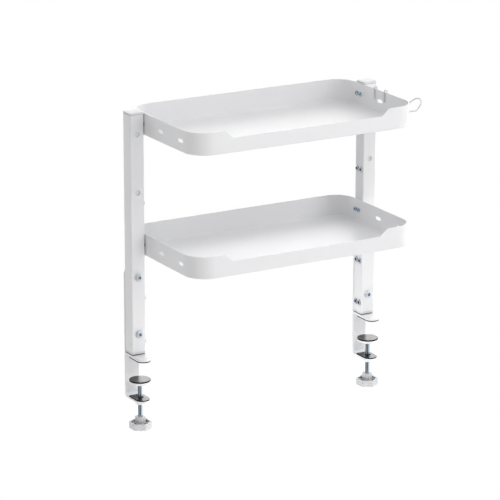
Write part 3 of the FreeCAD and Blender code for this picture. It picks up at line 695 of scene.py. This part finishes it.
def socket_screw(shell, place, head, height, shank, length, key, turn=0.0):
    """Button head with a hex socket, on a shank with a chamfered tip.  Seat at Z = 0."""
    steps = 48
    dome = [(head / 2 - 0.15, 0.0), (head / 2, 0.2)]
    flat = key * 0.5 + head * 0.13
    for a in range(15, 91, 15):
        share = radians(a)
        dome.append((flat + (head / 2 - flat) * cos(share), 0.35 + (height - 0.35) * sin(share)))
    profile = [(0, -length), (shank / 2 - 0.7, -length), (shank / 2, -length + 0.7),
               (shank / 2, 0.0)] + dome
    shell.lathe(profile, place, steps)

    def hexagon(flats, z):
        points = []
        for k in range(steps):
            angle = 2 * pi * k / steps
            radius = hexagon_reach(angle, turn, flats, flats / sqrt(3) * 0.985)
            points.append(place(radius * cos(angle), radius * sin(angle), z))
        return shell.add(points)

    rim = shell.add(lift(place, circle_loop(0, 0, flat, steps)(), height))
    rings = [rim, hexagon(key + 0.5, height), hexagon(key, height - 0.3),
             hexagon(key, height * 0.35)]
    shell.strips(rings)
    shell.fan(rings[-1], shell.add([place(0, 0, height * 0.35 - key * 0.18)])[0])


def hex_nut(shell, place, flats=13.0, height=6.5, bore=8.1, turn=30.0):
    """Nut with turned-down corners at both faces, the arcs of which show on its flats."""
    steps = 72
    face = flats * 0.475

    def ring(radius_at, height_at):
        points = []
        for k in range(steps):
            angle = 2 * pi * k / steps
            corner = hexagon_reach(angle, turn, flats, flats / sqrt(3) - 0.12)
            radius = radius_at(corner)
            points.append(place(radius * cos(angle), radius * sin(angle), height_at(corner)))
        return shell.add(points)

    drop = tan(radians(30))
    rings = [
        ring(lambda c: bore / 2, lambda c: NUT_CHAMFER),
        ring(lambda c: bore / 2 + NUT_CHAMFER, lambda c: 0.0),
        ring(lambda c: face, lambda c: 0.0),
        ring(lambda c: c, lambda c: (c - face) * drop),
        ring(lambda c: c, lambda c: height - (c - face) * drop),
        ring(lambda c: face, lambda c: height),
        ring(lambda c: bore / 2 + NUT_CHAMFER, lambda c: height),
        ring(lambda c: bore / 2, lambda c: height - NUT_CHAMFER),
    ]
    shell.strips(rings + [rings[0]])


def threaded_rod(shell, place, low, high, radius, depth, pitch=THREAD_PITCH, steps=36):
    """A right-handed thread as a rippled cylinder that runs out smoothly at both ends."""
    count = int((high - low) / pitch * 8)
    rings = []
    for i in range(count + 1):
        z = low + (high - low) * i / count
        run_out = min(1.0, (z - low) / (1.5 * pitch), (high - z) / (1.5 * pitch))
        points = []
        for k in range(steps):
            angle = 2 * pi * k / steps
            phase = (z / pitch - k / steps) % 1.0
            groove = 1.0 - min(1.0, abs(2 * phase - 1) * THREAD_CREST)
            size = radius - depth * groove * run_out
            points.append(place(size * cos(angle), size * sin(angle), z))
        rings.append(shell.add(points))
    shell.strips(rings)


def build_fasteners(name, side):
    tray_low, tray_high = node_box("upper_tray")
    wall = tray_high.x - SHEET if side > 0 else tray_low.x + SHEET
    inward = (-side, 0, 0)
    post_low, post_high = node_box(f"{name}_post")
    centre = (post_low + post_high) / 2
    for tier in ("upper", "lower"):
        node = f"{name}_{tier}_tray_screws"
        low, high = node_box(node)
        shell = Shell()
        for y in (-RIVET_PITCH / 2, RIVET_PITCH / 2):
            place = axis_placer((wall, centre.y + y, (low.z + high.z) / 2), inward)
            socket_screw(shell, place, **TRAY_SCREW, turn=17.0 * y)
        shell.build(f"{name}_{tier}_tray_fixings", "shelf", ZINC, "zinc", [node])

    shell = Shell()
    face = post_low.x if side > 0 else post_high.x
    for row in RIVET_ROWS:
        for y in (-RIVET_PITCH / 2, RIVET_PITCH / 2):
            place = axis_placer((face, centre.y + y, post_low.z + row), inward)
            shell.lathe(RIVET_NUT, place, 40, closed=True)
    shell.build(f"{name}_insert_nuts", "shelf", INSERT_ZINC, "zinc", [f"{name}_rivet_nuts"])

    bolts, nuts = Shell(), Shell()
    _, strap_high = node_box(f"{name}_bracket")
    _, bolt_high = node_box(f"{name}_bracket_bolts")
    for index, z in enumerate(BRACKET_HOLES):
        place = axis_placer((centre.x, post_low.y, post_low.z + z), (0, -1, 0))
        socket_screw(bolts, place, **BRACKET_BOLT, length=bolt_high.y - post_low.y,
                     turn=12.0 + 25.0 * index + 9.0 * side)
        rear = (centre.x, strap_high.y, post_low.z + z)
        hex_nut(nuts, axis_placer(rear, (0, 1, 0)), turn=8.0 + 31.0 * index + 11.0 * side)
    bolts.build(f"{name}_bracket_screws", "shelf", BOLT_ZINC, "zinc", [f"{name}_bracket_bolts"])
    nuts.build(f"{name}_strap_nuts", "shelf", ZINC, "zinc", [f"{name}_bracket_nuts"])


# ---------------------------------------------------------------- bracket and jaws

STRAP = 3.0
STRAP_EDGE = 0.45
INNER_BEND = 5.0
SCREW_HOLE = 8.6
PAD_HOLE = 12.0
PAD_EDGE = 0.15


def tongue_loop(half, back, reach, steps=20):
    """A strip that starts at back and ends in a half circle at reach; open at its start."""
    def loop(inset=0.0):
        size = half - inset
        return [(-size, back)] + arc(0, reach - half, size, 180, 0, steps) + [(size, back)]
    return loop


def build_bracket(name):
    """Strap, bend and lower jaw in one skin: round ends, bolt holes and the screw's hole."""
    node = f"{name}_bracket"
    low, high = node_box(node)
    x = (low.x + high.x) / 2
    half = (high.x - low.x) / 2
    front, floor = high.y - STRAP, low.z + STRAP
    bend_y, bend_z = front - INNER_BEND, floor + INNER_BEND
    post_low, _ = node_box(f"{name}_post")
    _, screw_y = middle(*node_box(f"{name}_clamp_screw"))
    shell = Shell()

    def strap(u, v, w):
        return Vector((x + u, front + w, bend_z + v))

    def jaw(u, v, w):
        return Vector((x + u, bend_y - v, floor - w))

    holes = [circle_loop(0, post_low.z + z - bend_z, BOLT_HOLE / 2)
             for z in BRACKET_HOLES]
    shell.plate(tongue_loop(half, 0, high.z - bend_z), holes, STRAP, STRAP_EDGE, strap, False)
    screw = circle_loop(0, bend_y - screw_y, SCREW_HOLE / 2)
    shell.plate(tongue_loop(half, 0, bend_y - low.y), [screw], STRAP, STRAP_EDGE, jaw, False)
    levels = slab_levels(STRAP, STRAP_EDGE)
    section = [(half - inset, depth) for inset, depth in levels]
    section += [(-(half - inset), depth) for inset, depth in reversed(levels)]
    rings = []
    for k in range(13):
        a = radians(90 * k / 12)
        rings.append(shell.add([(x + u, bend_y + (INNER_BEND + w) * cos(a),
                                 bend_z - (INNER_BEND + w) * sin(a)) for u, w in section]))
    shell.strips(rings)
    shell.build(f"{name}_bracket_strap", "shelf", COAT, "powder_coat", [node])


def build_jaws(name):
    """Upper jaw plate and both jaws' rubber pads, each with a half-round front."""
    _, screw_y = middle(*node_box(f"{name}_clamp_screw"))
    rows = (
        ("upper_jaw", "upper_jaw_plate", JAW_COAT, "powder_coat", STRAP_EDGE, False),
        ("upper_jaw_pad", "upper_rubber", RUBBER, "rubber", PAD_EDGE, False),
        ("lower_jaw_pad", "lower_rubber", RUBBER, "rubber", PAD_EDGE, True),
    )
    for part, label, material, slot, edge, holed in rows:
        low, high = node_box(f"{name}_{part}")
        x, half = (low.x + high.x) / 2, (high.x - low.x) / 2
        place = placer((x, high.y, high.z), (1, 0, 0), (0, -1, 0), (0, 0, -1))
        holes = [circle_loop(0, high.y - screw_y, PAD_HOLE / 2)] if holed else []
        reach = high.y - low.y

        def outline(inset=0.0, half=half, reach=reach):
            size = half - inset
            return ([(-size + 0.6, inset), (-size, inset + 0.6)]
                    + arc(0, reach - half, size, 180, 0, 20)
                    + [(size, inset + 0.6), (size - 0.6, inset)])
        shell = Shell()
        shell.plate(outline, holes, high.z - low.z, edge, place)
        shell.build(f"{name}_{label}", "shelf", material, slot, [f"{name}_{part}"])


def build_weld_nut(name):
    low, high = node_box(f"{name}_weld_nut")
    shell = Shell()
    hex_nut(shell, upright((*middle(low, high), low.z)), height=high.z - low.z, turn=0.0)
    shell.build(f"{name}_jaw_nut", "shelf", COAT, "powder_coat", [f"{name}_weld_nut"])


# ---------------------------------------------------------------- clamp screw, disc and knob

NECK_RADIUS = 3.0
GROOVE_RADIUS = 2.5
DISC_CONE = 4.7
DISC_EDGE = 0.35
NECK_HOLE = 6.2
RING_RECESS = 11.6
RECESS_DEPTH = 2.0
DISC_PAD_EDGE = 0.7


def build_screw(name):
    low, high = node_box(f"{name}_clamp_screw")
    disc_low, _ = node_box(f"{name}_pressure_disc")
    place = upright((*middle(low, high), 0))
    shell = Shell()
    shoulder = disc_low.z - 0.1
    thread_end = shoulder - 1.0
    threaded_rod(shell, place, low.z + SCREW_TIP, thread_end, SCREW_RADIUS, THREAD_DEPTH)
    shell.lathe([(0, low.z), (3.2, low.z), (SCREW_RADIUS, low.z + SCREW_TIP)], place, 36)
    shell.lathe([(SCREW_RADIUS, thread_end), (SCREW_RADIUS, shoulder - 0.2),
                 (SCREW_RADIUS - 0.2, shoulder), (NECK_RADIUS, shoulder),
                 (NECK_RADIUS, high.z - 2.2), (GROOVE_RADIUS, high.z - 2.2),
                 (GROOVE_RADIUS, high.z - 0.5), (NECK_RADIUS, high.z - 0.4),
                 (NECK_RADIUS - 0.2, high.z), (0, high.z)], place, 36)
    shell.build(f"{name}_threaded_screw", f"{name}_screw", ZINC_ROD, "zinc",
                [f"{name}_clamp_screw"])


def build_disc(name):
    low, high = node_box(f"{name}_pressure_disc")
    x, y = middle(low, high)
    place = upright((x, y, low.z))
    rim = (high.x - low.x) / 2
    hole, recess, top = NECK_HOLE / 2, RING_RECESS / 2, high.z - low.z
    profile = [(hole, 0.3), (hole + 0.3, 0.0), (9.0, 0.0), (9.5, 0.25),
               (16.3, DISC_CONE - 0.25), (16.8, DISC_CONE), (rim - DISC_EDGE, DISC_CONE),
               (rim, DISC_CONE + DISC_EDGE), (rim, top), (recess, top),
               (recess, top - RECESS_DEPTH), (hole, top - RECESS_DEPTH)]
    shell = Shell()
    shell.lathe(profile, place, 64, closed=True)
    shell.build(f"{name}_disc_plate", f"{name}_disc", COAT, "powder_coat",
                [f"{name}_pressure_disc"])

    low, high = node_box(f"{name}_disc_pad")
    place = upright((x, y, low.z))
    rim, top = (high.x - low.x) / 2, high.z - low.z
    profile = [(0, 0), (rim - 0.3, 0), (rim, 0.3), (rim, top - DISC_PAD_EDGE)]
    profile += turned_edge(rim, top, DISC_PAD_EDGE, 4)
    profile += [(rim - 3.0, top - 0.02), (0, top - 0.02)]
    shell = Shell()
    shell.lathe(profile, place, 64)
    shell.build(f"{name}_disc_rubber", f"{name}_disc", RUBBER, "rubber", [f"{name}_disc_pad"])


KNOB_WALL = 2.2
KNOB_HEIGHT = 11.0
KNOB_DECK = 9.6
KNOB_FLOOR = 2.0
KNOB_FOOT_EDGE = 0.7
KNOB_RIM_EDGES = (0.5, 0.4)
HUB = 17.3
HUB_BORE = 8.0
HUB_TAPER = 0.1
HUB_EDGE = 0.8
RIB = 1.6
NUT_POCKET = 7.1


def knob_pocket(angle, flats):
    """One of the six hollows round the hub, between two ribs and the wall."""
    wall = flats / 2 - KNOB_WALL - 0.25
    hub = HUB / 2 + 0.35
    slope = cos(radians(30))

    def loop(inset=0.0):
        half_rib = RIB / 2 - inset
        far = wall + inset
        near = hub - inset
        along = (far - half_rib * 0.5) / slope
        corner = (far, along * 0.5 - half_rib * slope)
        reach = sqrt(near ** 2 - half_rib ** 2)
        inner = (reach * slope + half_rib * 0.5, reach * 0.5 - half_rib * slope)
        swing = degrees(atan2(inner[1], inner[0]))
        shape = rounded([(inner[0], -inner[1]), (corner[0], -corner[1]), corner, inner],
                        0.9, 4, closed=False)
        points = shape + arc(0, 0, near, swing, -swing, 8)[1:-1]
        c, s = cos(radians(angle)), sin(radians(angle))
        return [(u * c - v * s, u * s + v * c) for u, v in points]
    return loop


def build_knob(name):
    """Hexagonal knob: a shell round six ribbed hollows, a tall hub and a nut pocket below."""
    node = f"{name}_knob"
    low, high = node_box(node)
    x, y = middle(low, high)
    flats, hub_top = high.x - low.x, high.z - low.z
    place = upright((x, y, low.z))
    hexagon = hexagon_loop(flats, 1.8, 6)
    shell = Shell()

    outer, inner = (quarter_turn(edge, 4) for edge in KNOB_RIM_EDGES)
    levels = quarter_turn(KNOB_FOOT_EDGE, 4)
    levels += [(inset, KNOB_HEIGHT - depth) for inset, depth in reversed(outer)]
    levels += [(KNOB_WALL - inset, KNOB_HEIGHT - depth) for inset, depth in inner]
    levels += [(KNOB_WALL, KNOB_DECK)]
    shell.wall(hexagon, levels, place)

    pockets = [knob_pocket(60 * k, flats) for k in range(6)]
    hub_loop = circle_loop(0, 0, HUB / 2, 60)
    edge = 0.2
    shell.panel(place, KNOB_DECK, hexagon(KNOB_WALL),
                [loop(edge) for loop in pockets] + [hub_loop()])
    for loop in pockets:
        steps = [(edge, KNOB_DECK), (edge * 0.3, KNOB_DECK - edge * 0.3), (0, KNOB_DECK - edge),
                 (0, KNOB_FLOOR)]
        shell.cap(shell.wall(loop, steps, place)[-1])
    radius = HUB / 2
    hub = [(radius, KNOB_DECK), (radius - HUB_TAPER, hub_top - HUB_EDGE)]
    hub += turned_edge(radius - HUB_TAPER, hub_top, HUB_EDGE, 4)
    hub += [(HUB_BORE / 2 + 0.4, hub_top), (HUB_BORE / 2, hub_top - 0.4),
            (HUB_BORE / 2, NUT_POCKET)]
    shell.lathe(hub, place, 60)
    nut = hexagon_loop(13.1, 0.3, 2)
    shell.panel(place, NUT_POCKET, nut(), [circle_loop(0, 0, HUB_BORE / 2, 60)()])
    shell.wall(nut, [(0, NUT_POCKET), (0, 0.0)], place)
    shell.panel(place, 0.0, hexagon(KNOB_FOOT_EDGE), [nut()])
    shell.build(f"{name}_knob_shell", f"{name}_screw", KNOB, "knob_plastic", [node])

    low, high = node_box(f"{name}_knob_nut")
    shell = Shell()
    hex_nut(shell, upright((x, y, low.z)), height=high.z - low.z, turn=0.0)
    shell.build(f"{name}_captive_nut", f"{name}_screw", ZINC, "zinc", [f"{name}_knob_nut"])


# ---------------------------------------------------------------- hook

def wire(shell, path, radius, steps=20):
    """A round wire along a path, with domed ends."""
    course = [path[0]]
    for point in path[1:]:
        if (point - course[-1]).length > 0.02:
            course.append(point)
    tangents = []
    for i in range(len(course)):
        ahead = course[min(i + 1, len(course) - 1)] - course[max(i - 1, 0)]
        tangents.append(ahead.normalized())
    side = tangents[0].orthogonal().normalized()
    sections = []
    for point, tangent in zip(course, tangents):
        side = (side - tangent * side.dot(tangent)).normalized()
        sections.append((point, tangent, side.copy(), 1.0))
    start_point, start_tangent, start_side, _ = sections[0]
    end_point, end_tangent, end_side, _ = sections[-1]
    dome = radius * 0.6
    climb = [radians(a) for a in (15, 35, 55, 75)]
    heads = [(start_point - start_tangent * dome * sin(a), start_tangent, start_side, cos(a))
             for a in reversed(climb)]
    tails = [(end_point + end_tangent * dome * sin(a), end_tangent, end_side, cos(a))
             for a in climb]
    rings = []
    for point, tangent, across, share in heads + sections + tails:
        other = tangent.cross(across)
        rings.append(shell.add([
            point + (across * cos(2 * pi * k / steps) + other * sin(2 * pi * k / steps))
            * radius * share for k in range(steps)]))
    shell.strips(rings)
    tips = shell.add([start_point - start_tangent * dome, end_point + end_tangent * dome])
    shell.fan(rings[0], tips[0])
    shell.fan(rings[-1], tips[1])


HOOK_WIRE = 2.4
HOOK_ARCH = 2.6
HOOK_RISE = 0.8
HOOK_BEND = 3.0
HOOK_LEAN = 48.0
HOOK_LEG = 5.5
HOOK_ARM_END = 267.0
HOOK_DROP = 1.8
HOOK_FOOT = 15.9


def build_hook():
    low, high = node_box("headphone_hook")
    tray_low, tray_high = node_box("upper_tray")
    radius = HOOK_WIRE / 2
    centre_y = (low.y + high.y) / 2
    half = (high.y - low.y) / 2 - radius
    inner_x = low.x + radius
    outer_x = inner_x + 2 * HOOK_ARCH
    arch_z = tray_high.z + HOOK_RISE
    arm_z = tray_low.z - HOOK_DROP
    foot_z = tray_high.z - HOOK_FOOT
    lean = Vector((cos(radians(HOOK_LEAN)), 0, sin(radians(HOOK_LEAN))))

    def half_route(y):
        tip = Vector((HOOK_ARM_END, y, arm_z)) + lean * HOOK_LEG
        course = [(inner_x, foot_z), (inner_x, arch_z)]
        course += arc(inner_x + HOOK_ARCH, arch_z, HOOK_ARCH, 165, 0, 11)
        course += rounded([(outer_x, arch_z), (outer_x, arm_z), (HOOK_ARM_END, arm_z),
                           (tip.x, tip.z)], HOOK_BEND, 10, closed=False)
        return [Vector((x, y, z)) for x, z in course], tip

    rear, rear_tip = half_route(centre_y + half)
    front, front_tip = half_route(centre_y - half)
    middle = (rear_tip + front_tip) / 2
    loop = [middle + Vector((0, half * cos(radians(a)), 0)) + lean * half * sin(radians(a))
            for a in range(5, 180, 5)]
    shell = Shell()
    wire(shell, rear + loop + list(reversed(front)), radius)
    shell.build("hook_wire", "hook", WIRE_COAT, "coated_wire", ["headphone_hook"])


# ---------------------------------------------------------------- the object

for tray in ("upper", "lower"):
    build_tray(tray)
for side_name, side_sign in SIDES.items():
    build_post(side_name, side_sign)
    build_plug(side_name, "cap", 1, CAP_FLANGE, CAP_COLLAR)
    build_plug(side_name, "foot", -1, FOOT_FLANGE)
    build_hole_plugs(side_name)
    build_fasteners(side_name, side_sign)
    build_bracket(side_name)
    build_jaws(side_name)
    build_weld_nut(side_name)
    build_screw(side_name)
    build_disc(side_name)
    build_knob(side_name)
    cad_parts[f"{side_name}_retaining_ring"].data.materials.clear()
    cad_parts[f"{side_name}_retaining_ring"].data.materials.append(ZINC)
build_hook()


# ---------------------------------------------------------------- camera, floor and light

# Where the camera stands: degrees to the left of the front, degrees above level, and metres
# from the point it looks at.
CAMERA_AZIMUTH = 30.0815
CAMERA_ELEVATION = 16.503
CAMERA_ROLL = -0.095
CAMERA_DISTANCE = 4.685
CAMERA_TARGET = Vector((-0.0260, -0.05, 0.1620))
FOCAL_LENGTH = 206.49
SENSOR_WIDTH = 36.0
FAR_CLIP = 100.0

scene = bpy.context.scene
scene.view_settings.view_transform = "Standard"


def toward(azimuth, elevation):
    """A unit vector away from the shelf; azimuth 0 is to its front, 90 to its right."""
    level = cos(radians(elevation))
    return Vector((level * sin(radians(azimuth)), -level * cos(radians(azimuth)),
                   sin(radians(elevation))))


def build_camera():
    data = bpy.data.cameras.new("camera")
    data.sensor_width = SENSOR_WIDTH
    data.lens = FOCAL_LENGTH
    data.clip_end = FAR_CLIP
    camera = bpy.data.objects.new("camera", data)
    scene.collection.objects.link(camera)
    scene.camera = camera
    forward = -toward(-CAMERA_AZIMUTH, CAMERA_ELEVATION)
    camera.rotation_mode = "QUATERNION"
    camera.rotation_quaternion = (Quaternion(forward, radians(CAMERA_ROLL))
                                  @ forward.to_track_quat("-Z", "Y"))
    camera.location = CAMERA_TARGET - forward * CAMERA_DISTANCE


# What shiny surfaces mirror, by direction: pale panels and the dark room between them.  Diffuse
# light comes from an even sky and the softboxes, and the camera sees plain white.
WHITE_SEEN = 1.05
SKY = 0.23
MIRRORED = (
    # degrees to the right of the front, brightness
    (-180, 2.4), (-150, 1.3), (-125, 0.10), (-74, 0.10), (-60, 1.4), (-46, 0.10), (-5, 0.12),
    (8, 0.9), (60, 1.1), (110, 1.2), (130, 2.0), (150, 5.0), (170, 4.0), (180, 2.4),
)
BRIGHTEST = 5.0
# Towards the ground the panels fade to an even brightness; the two heights are those of a unit
# vector's end, where the fading is complete and where it begins.
BELOW = 0.30
FADED = -0.70
FADING = -0.40


def build_world():
    world = bpy.data.worlds.new("studio")
    scene.world = world
    world.use_nodes = True
    nodes = Tree(world.node_tree)

    def math(operation, first, second):
        node = nodes.new("ShaderNodeMath", operation=operation)
        nodes.link(first, node.inputs[0])
        if isinstance(second, float):
            node.inputs[1].default_value = second
        else:
            nodes.link(second, node.inputs[1])
        return node.outputs["Value"]

    parts = nodes.new("ShaderNodeSeparateXYZ")
    nodes.link(nodes.new("ShaderNodeTexCoord").outputs["Generated"], parts.inputs["Vector"])
    ahead = math("MULTIPLY", parts.outputs["Y"], -1.0)
    heading = math("ARCTAN2", parts.outputs["X"], ahead)
    ramp = nodes.new("ShaderNodeValToRGB")
    nodes.link(math("ADD", math("MULTIPLY", heading, 1 / (2 * pi)), 0.5), ramp.inputs["Fac"])
    stops = ramp.color_ramp.elements
    for index, (bearing, _) in enumerate(MIRRORED):
        at = bearing / 360 + 0.5
        stop = stops[index] if index < 2 else stops.new(at)
        stop.position = at
    for stop, (_, bright) in zip(stops, MIRRORED):
        stop.color = (*[bright / BRIGHTEST] * 3, 1)
    fade = nodes.new("ShaderNodeMix", {"A": BELOW}, data_type="FLOAT")
    nodes.link(nodes.map_range(parts.outputs["Z"], FADED, FADING), fade.inputs["Factor"])
    nodes.link(math("MULTIPLY", ramp.outputs["Color"], BRIGHTEST), fade.inputs["B"])
    mirrored = nodes.new("ShaderNodeBackground")
    nodes.link(fade.outputs["Result"], mirrored.inputs["Strength"])
    even = world.node_tree.nodes["Background"]
    seen = nodes.new("ShaderNodeBackground")
    for background, strength in ((even, SKY), (seen, WHITE_SEEN)):
        fill(background, {"Color": (1, 1, 1, 1), "Strength": strength})
    lit = nodes.choose("Is Glossy Ray", even.outputs["Background"],
                       mirrored.outputs["Background"])
    nodes.link(nodes.choose("Is Camera Ray", lit, seen.outputs["Background"]),
               world.node_tree.nodes["World Output"].inputs["Surface"])


LIGHTS_AIM = Vector((0.0, -0.05, 0.15))
SOFTBOXES = (
    # name, azimuth, elevation, distance, size, power
    ("top_light", 0, 85, 2.6, 2.2, 9.6),
    ("front_high_light", 0, 55, 2.8, 2.0, 4.0),
    ("front_left_light", -35, 30, 2.8, 1.8, 17.0),
    ("front_low_light", 15, -8, 2.8, 1.8, 22.0),
    ("front_right_light", 40, 30, 2.8, 1.8, 24.5),
    ("left_light", -90, 20, 2.8, 1.8, 4.0),
    ("right_light", 90, 20, 2.8, 1.8, 36.0),
    ("rear_left_light", -140, 25, 2.8, 1.8, 17.0),
    ("bounce_light", 0, -90, 0.315, 0.7, 1.35),
)


def build_softbox(name, azimuth, elevation, distance, size, power):
    """A round soft light that faces the shelf and doesn't show in reflections."""
    data = bpy.data.lights.new(name, "AREA")
    data.shape = "DISK"
    data.size = size
    data.energy = power
    lamp = bpy.data.objects.new(name, data)
    scene.collection.objects.link(lamp)
    lamp.location = LIGHTS_AIM + distance * toward(azimuth, elevation)
    lamp.rotation_mode = "QUATERNION"
    lamp.rotation_quaternion = (LIGHTS_AIM - lamp.location).to_track_quat("-Z", "Y")
    lamp.visible_glossy = False


# The knobs drop 21.5 mm when the clamps open fully, and stay clear of the floor and of the
# bounce light just above it.
FLOOR_DROP = 0.050
FLOOR_REACH = 6
FLOOR_GLOW = 0.01


def build_floor():
    """A pale floor that the camera sees as plain white."""
    mesh = bpy.data.meshes.new("studio_floor")
    level = cad_bounds[0].z - FLOOR_DROP
    corners = ((-1, -1), (1, -1), (1, 1), (-1, 1))
    mesh.from_pydata([(x * FLOOR_REACH, y * FLOOR_REACH, level) for x, y in corners], [],
                     [(0, 1, 2, 3)])
    floor = bpy.data.objects.new("studio_floor", mesh)
    scene.collection.objects.link(floor)
    floor.visible_glossy = False
    material = bpy.data.materials.new("pale_floor")
    material.use_nodes = True
    nodes = Tree(material.node_tree)
    shader = material.node_tree.nodes["Principled BSDF"]
    fill(shader, {"Base Color": (0.8, 0.8, 0.8, 1), "Roughness": 0.9,
                  "Emission Color": (1, 1, 1, 1), "Emission Strength": FLOOR_GLOW})
    white = nodes.new("ShaderNodeEmission").outputs["Emission"]
    nodes.link(nodes.choose("Is Camera Ray", shader.outputs["BSDF"], white),
               material.node_tree.nodes["Material Output"].inputs["Surface"])
    mesh.materials.append(material)


build_camera()
build_world()
for softbox_values in SOFTBOXES:
    build_softbox(*softbox_values)
build_floor()
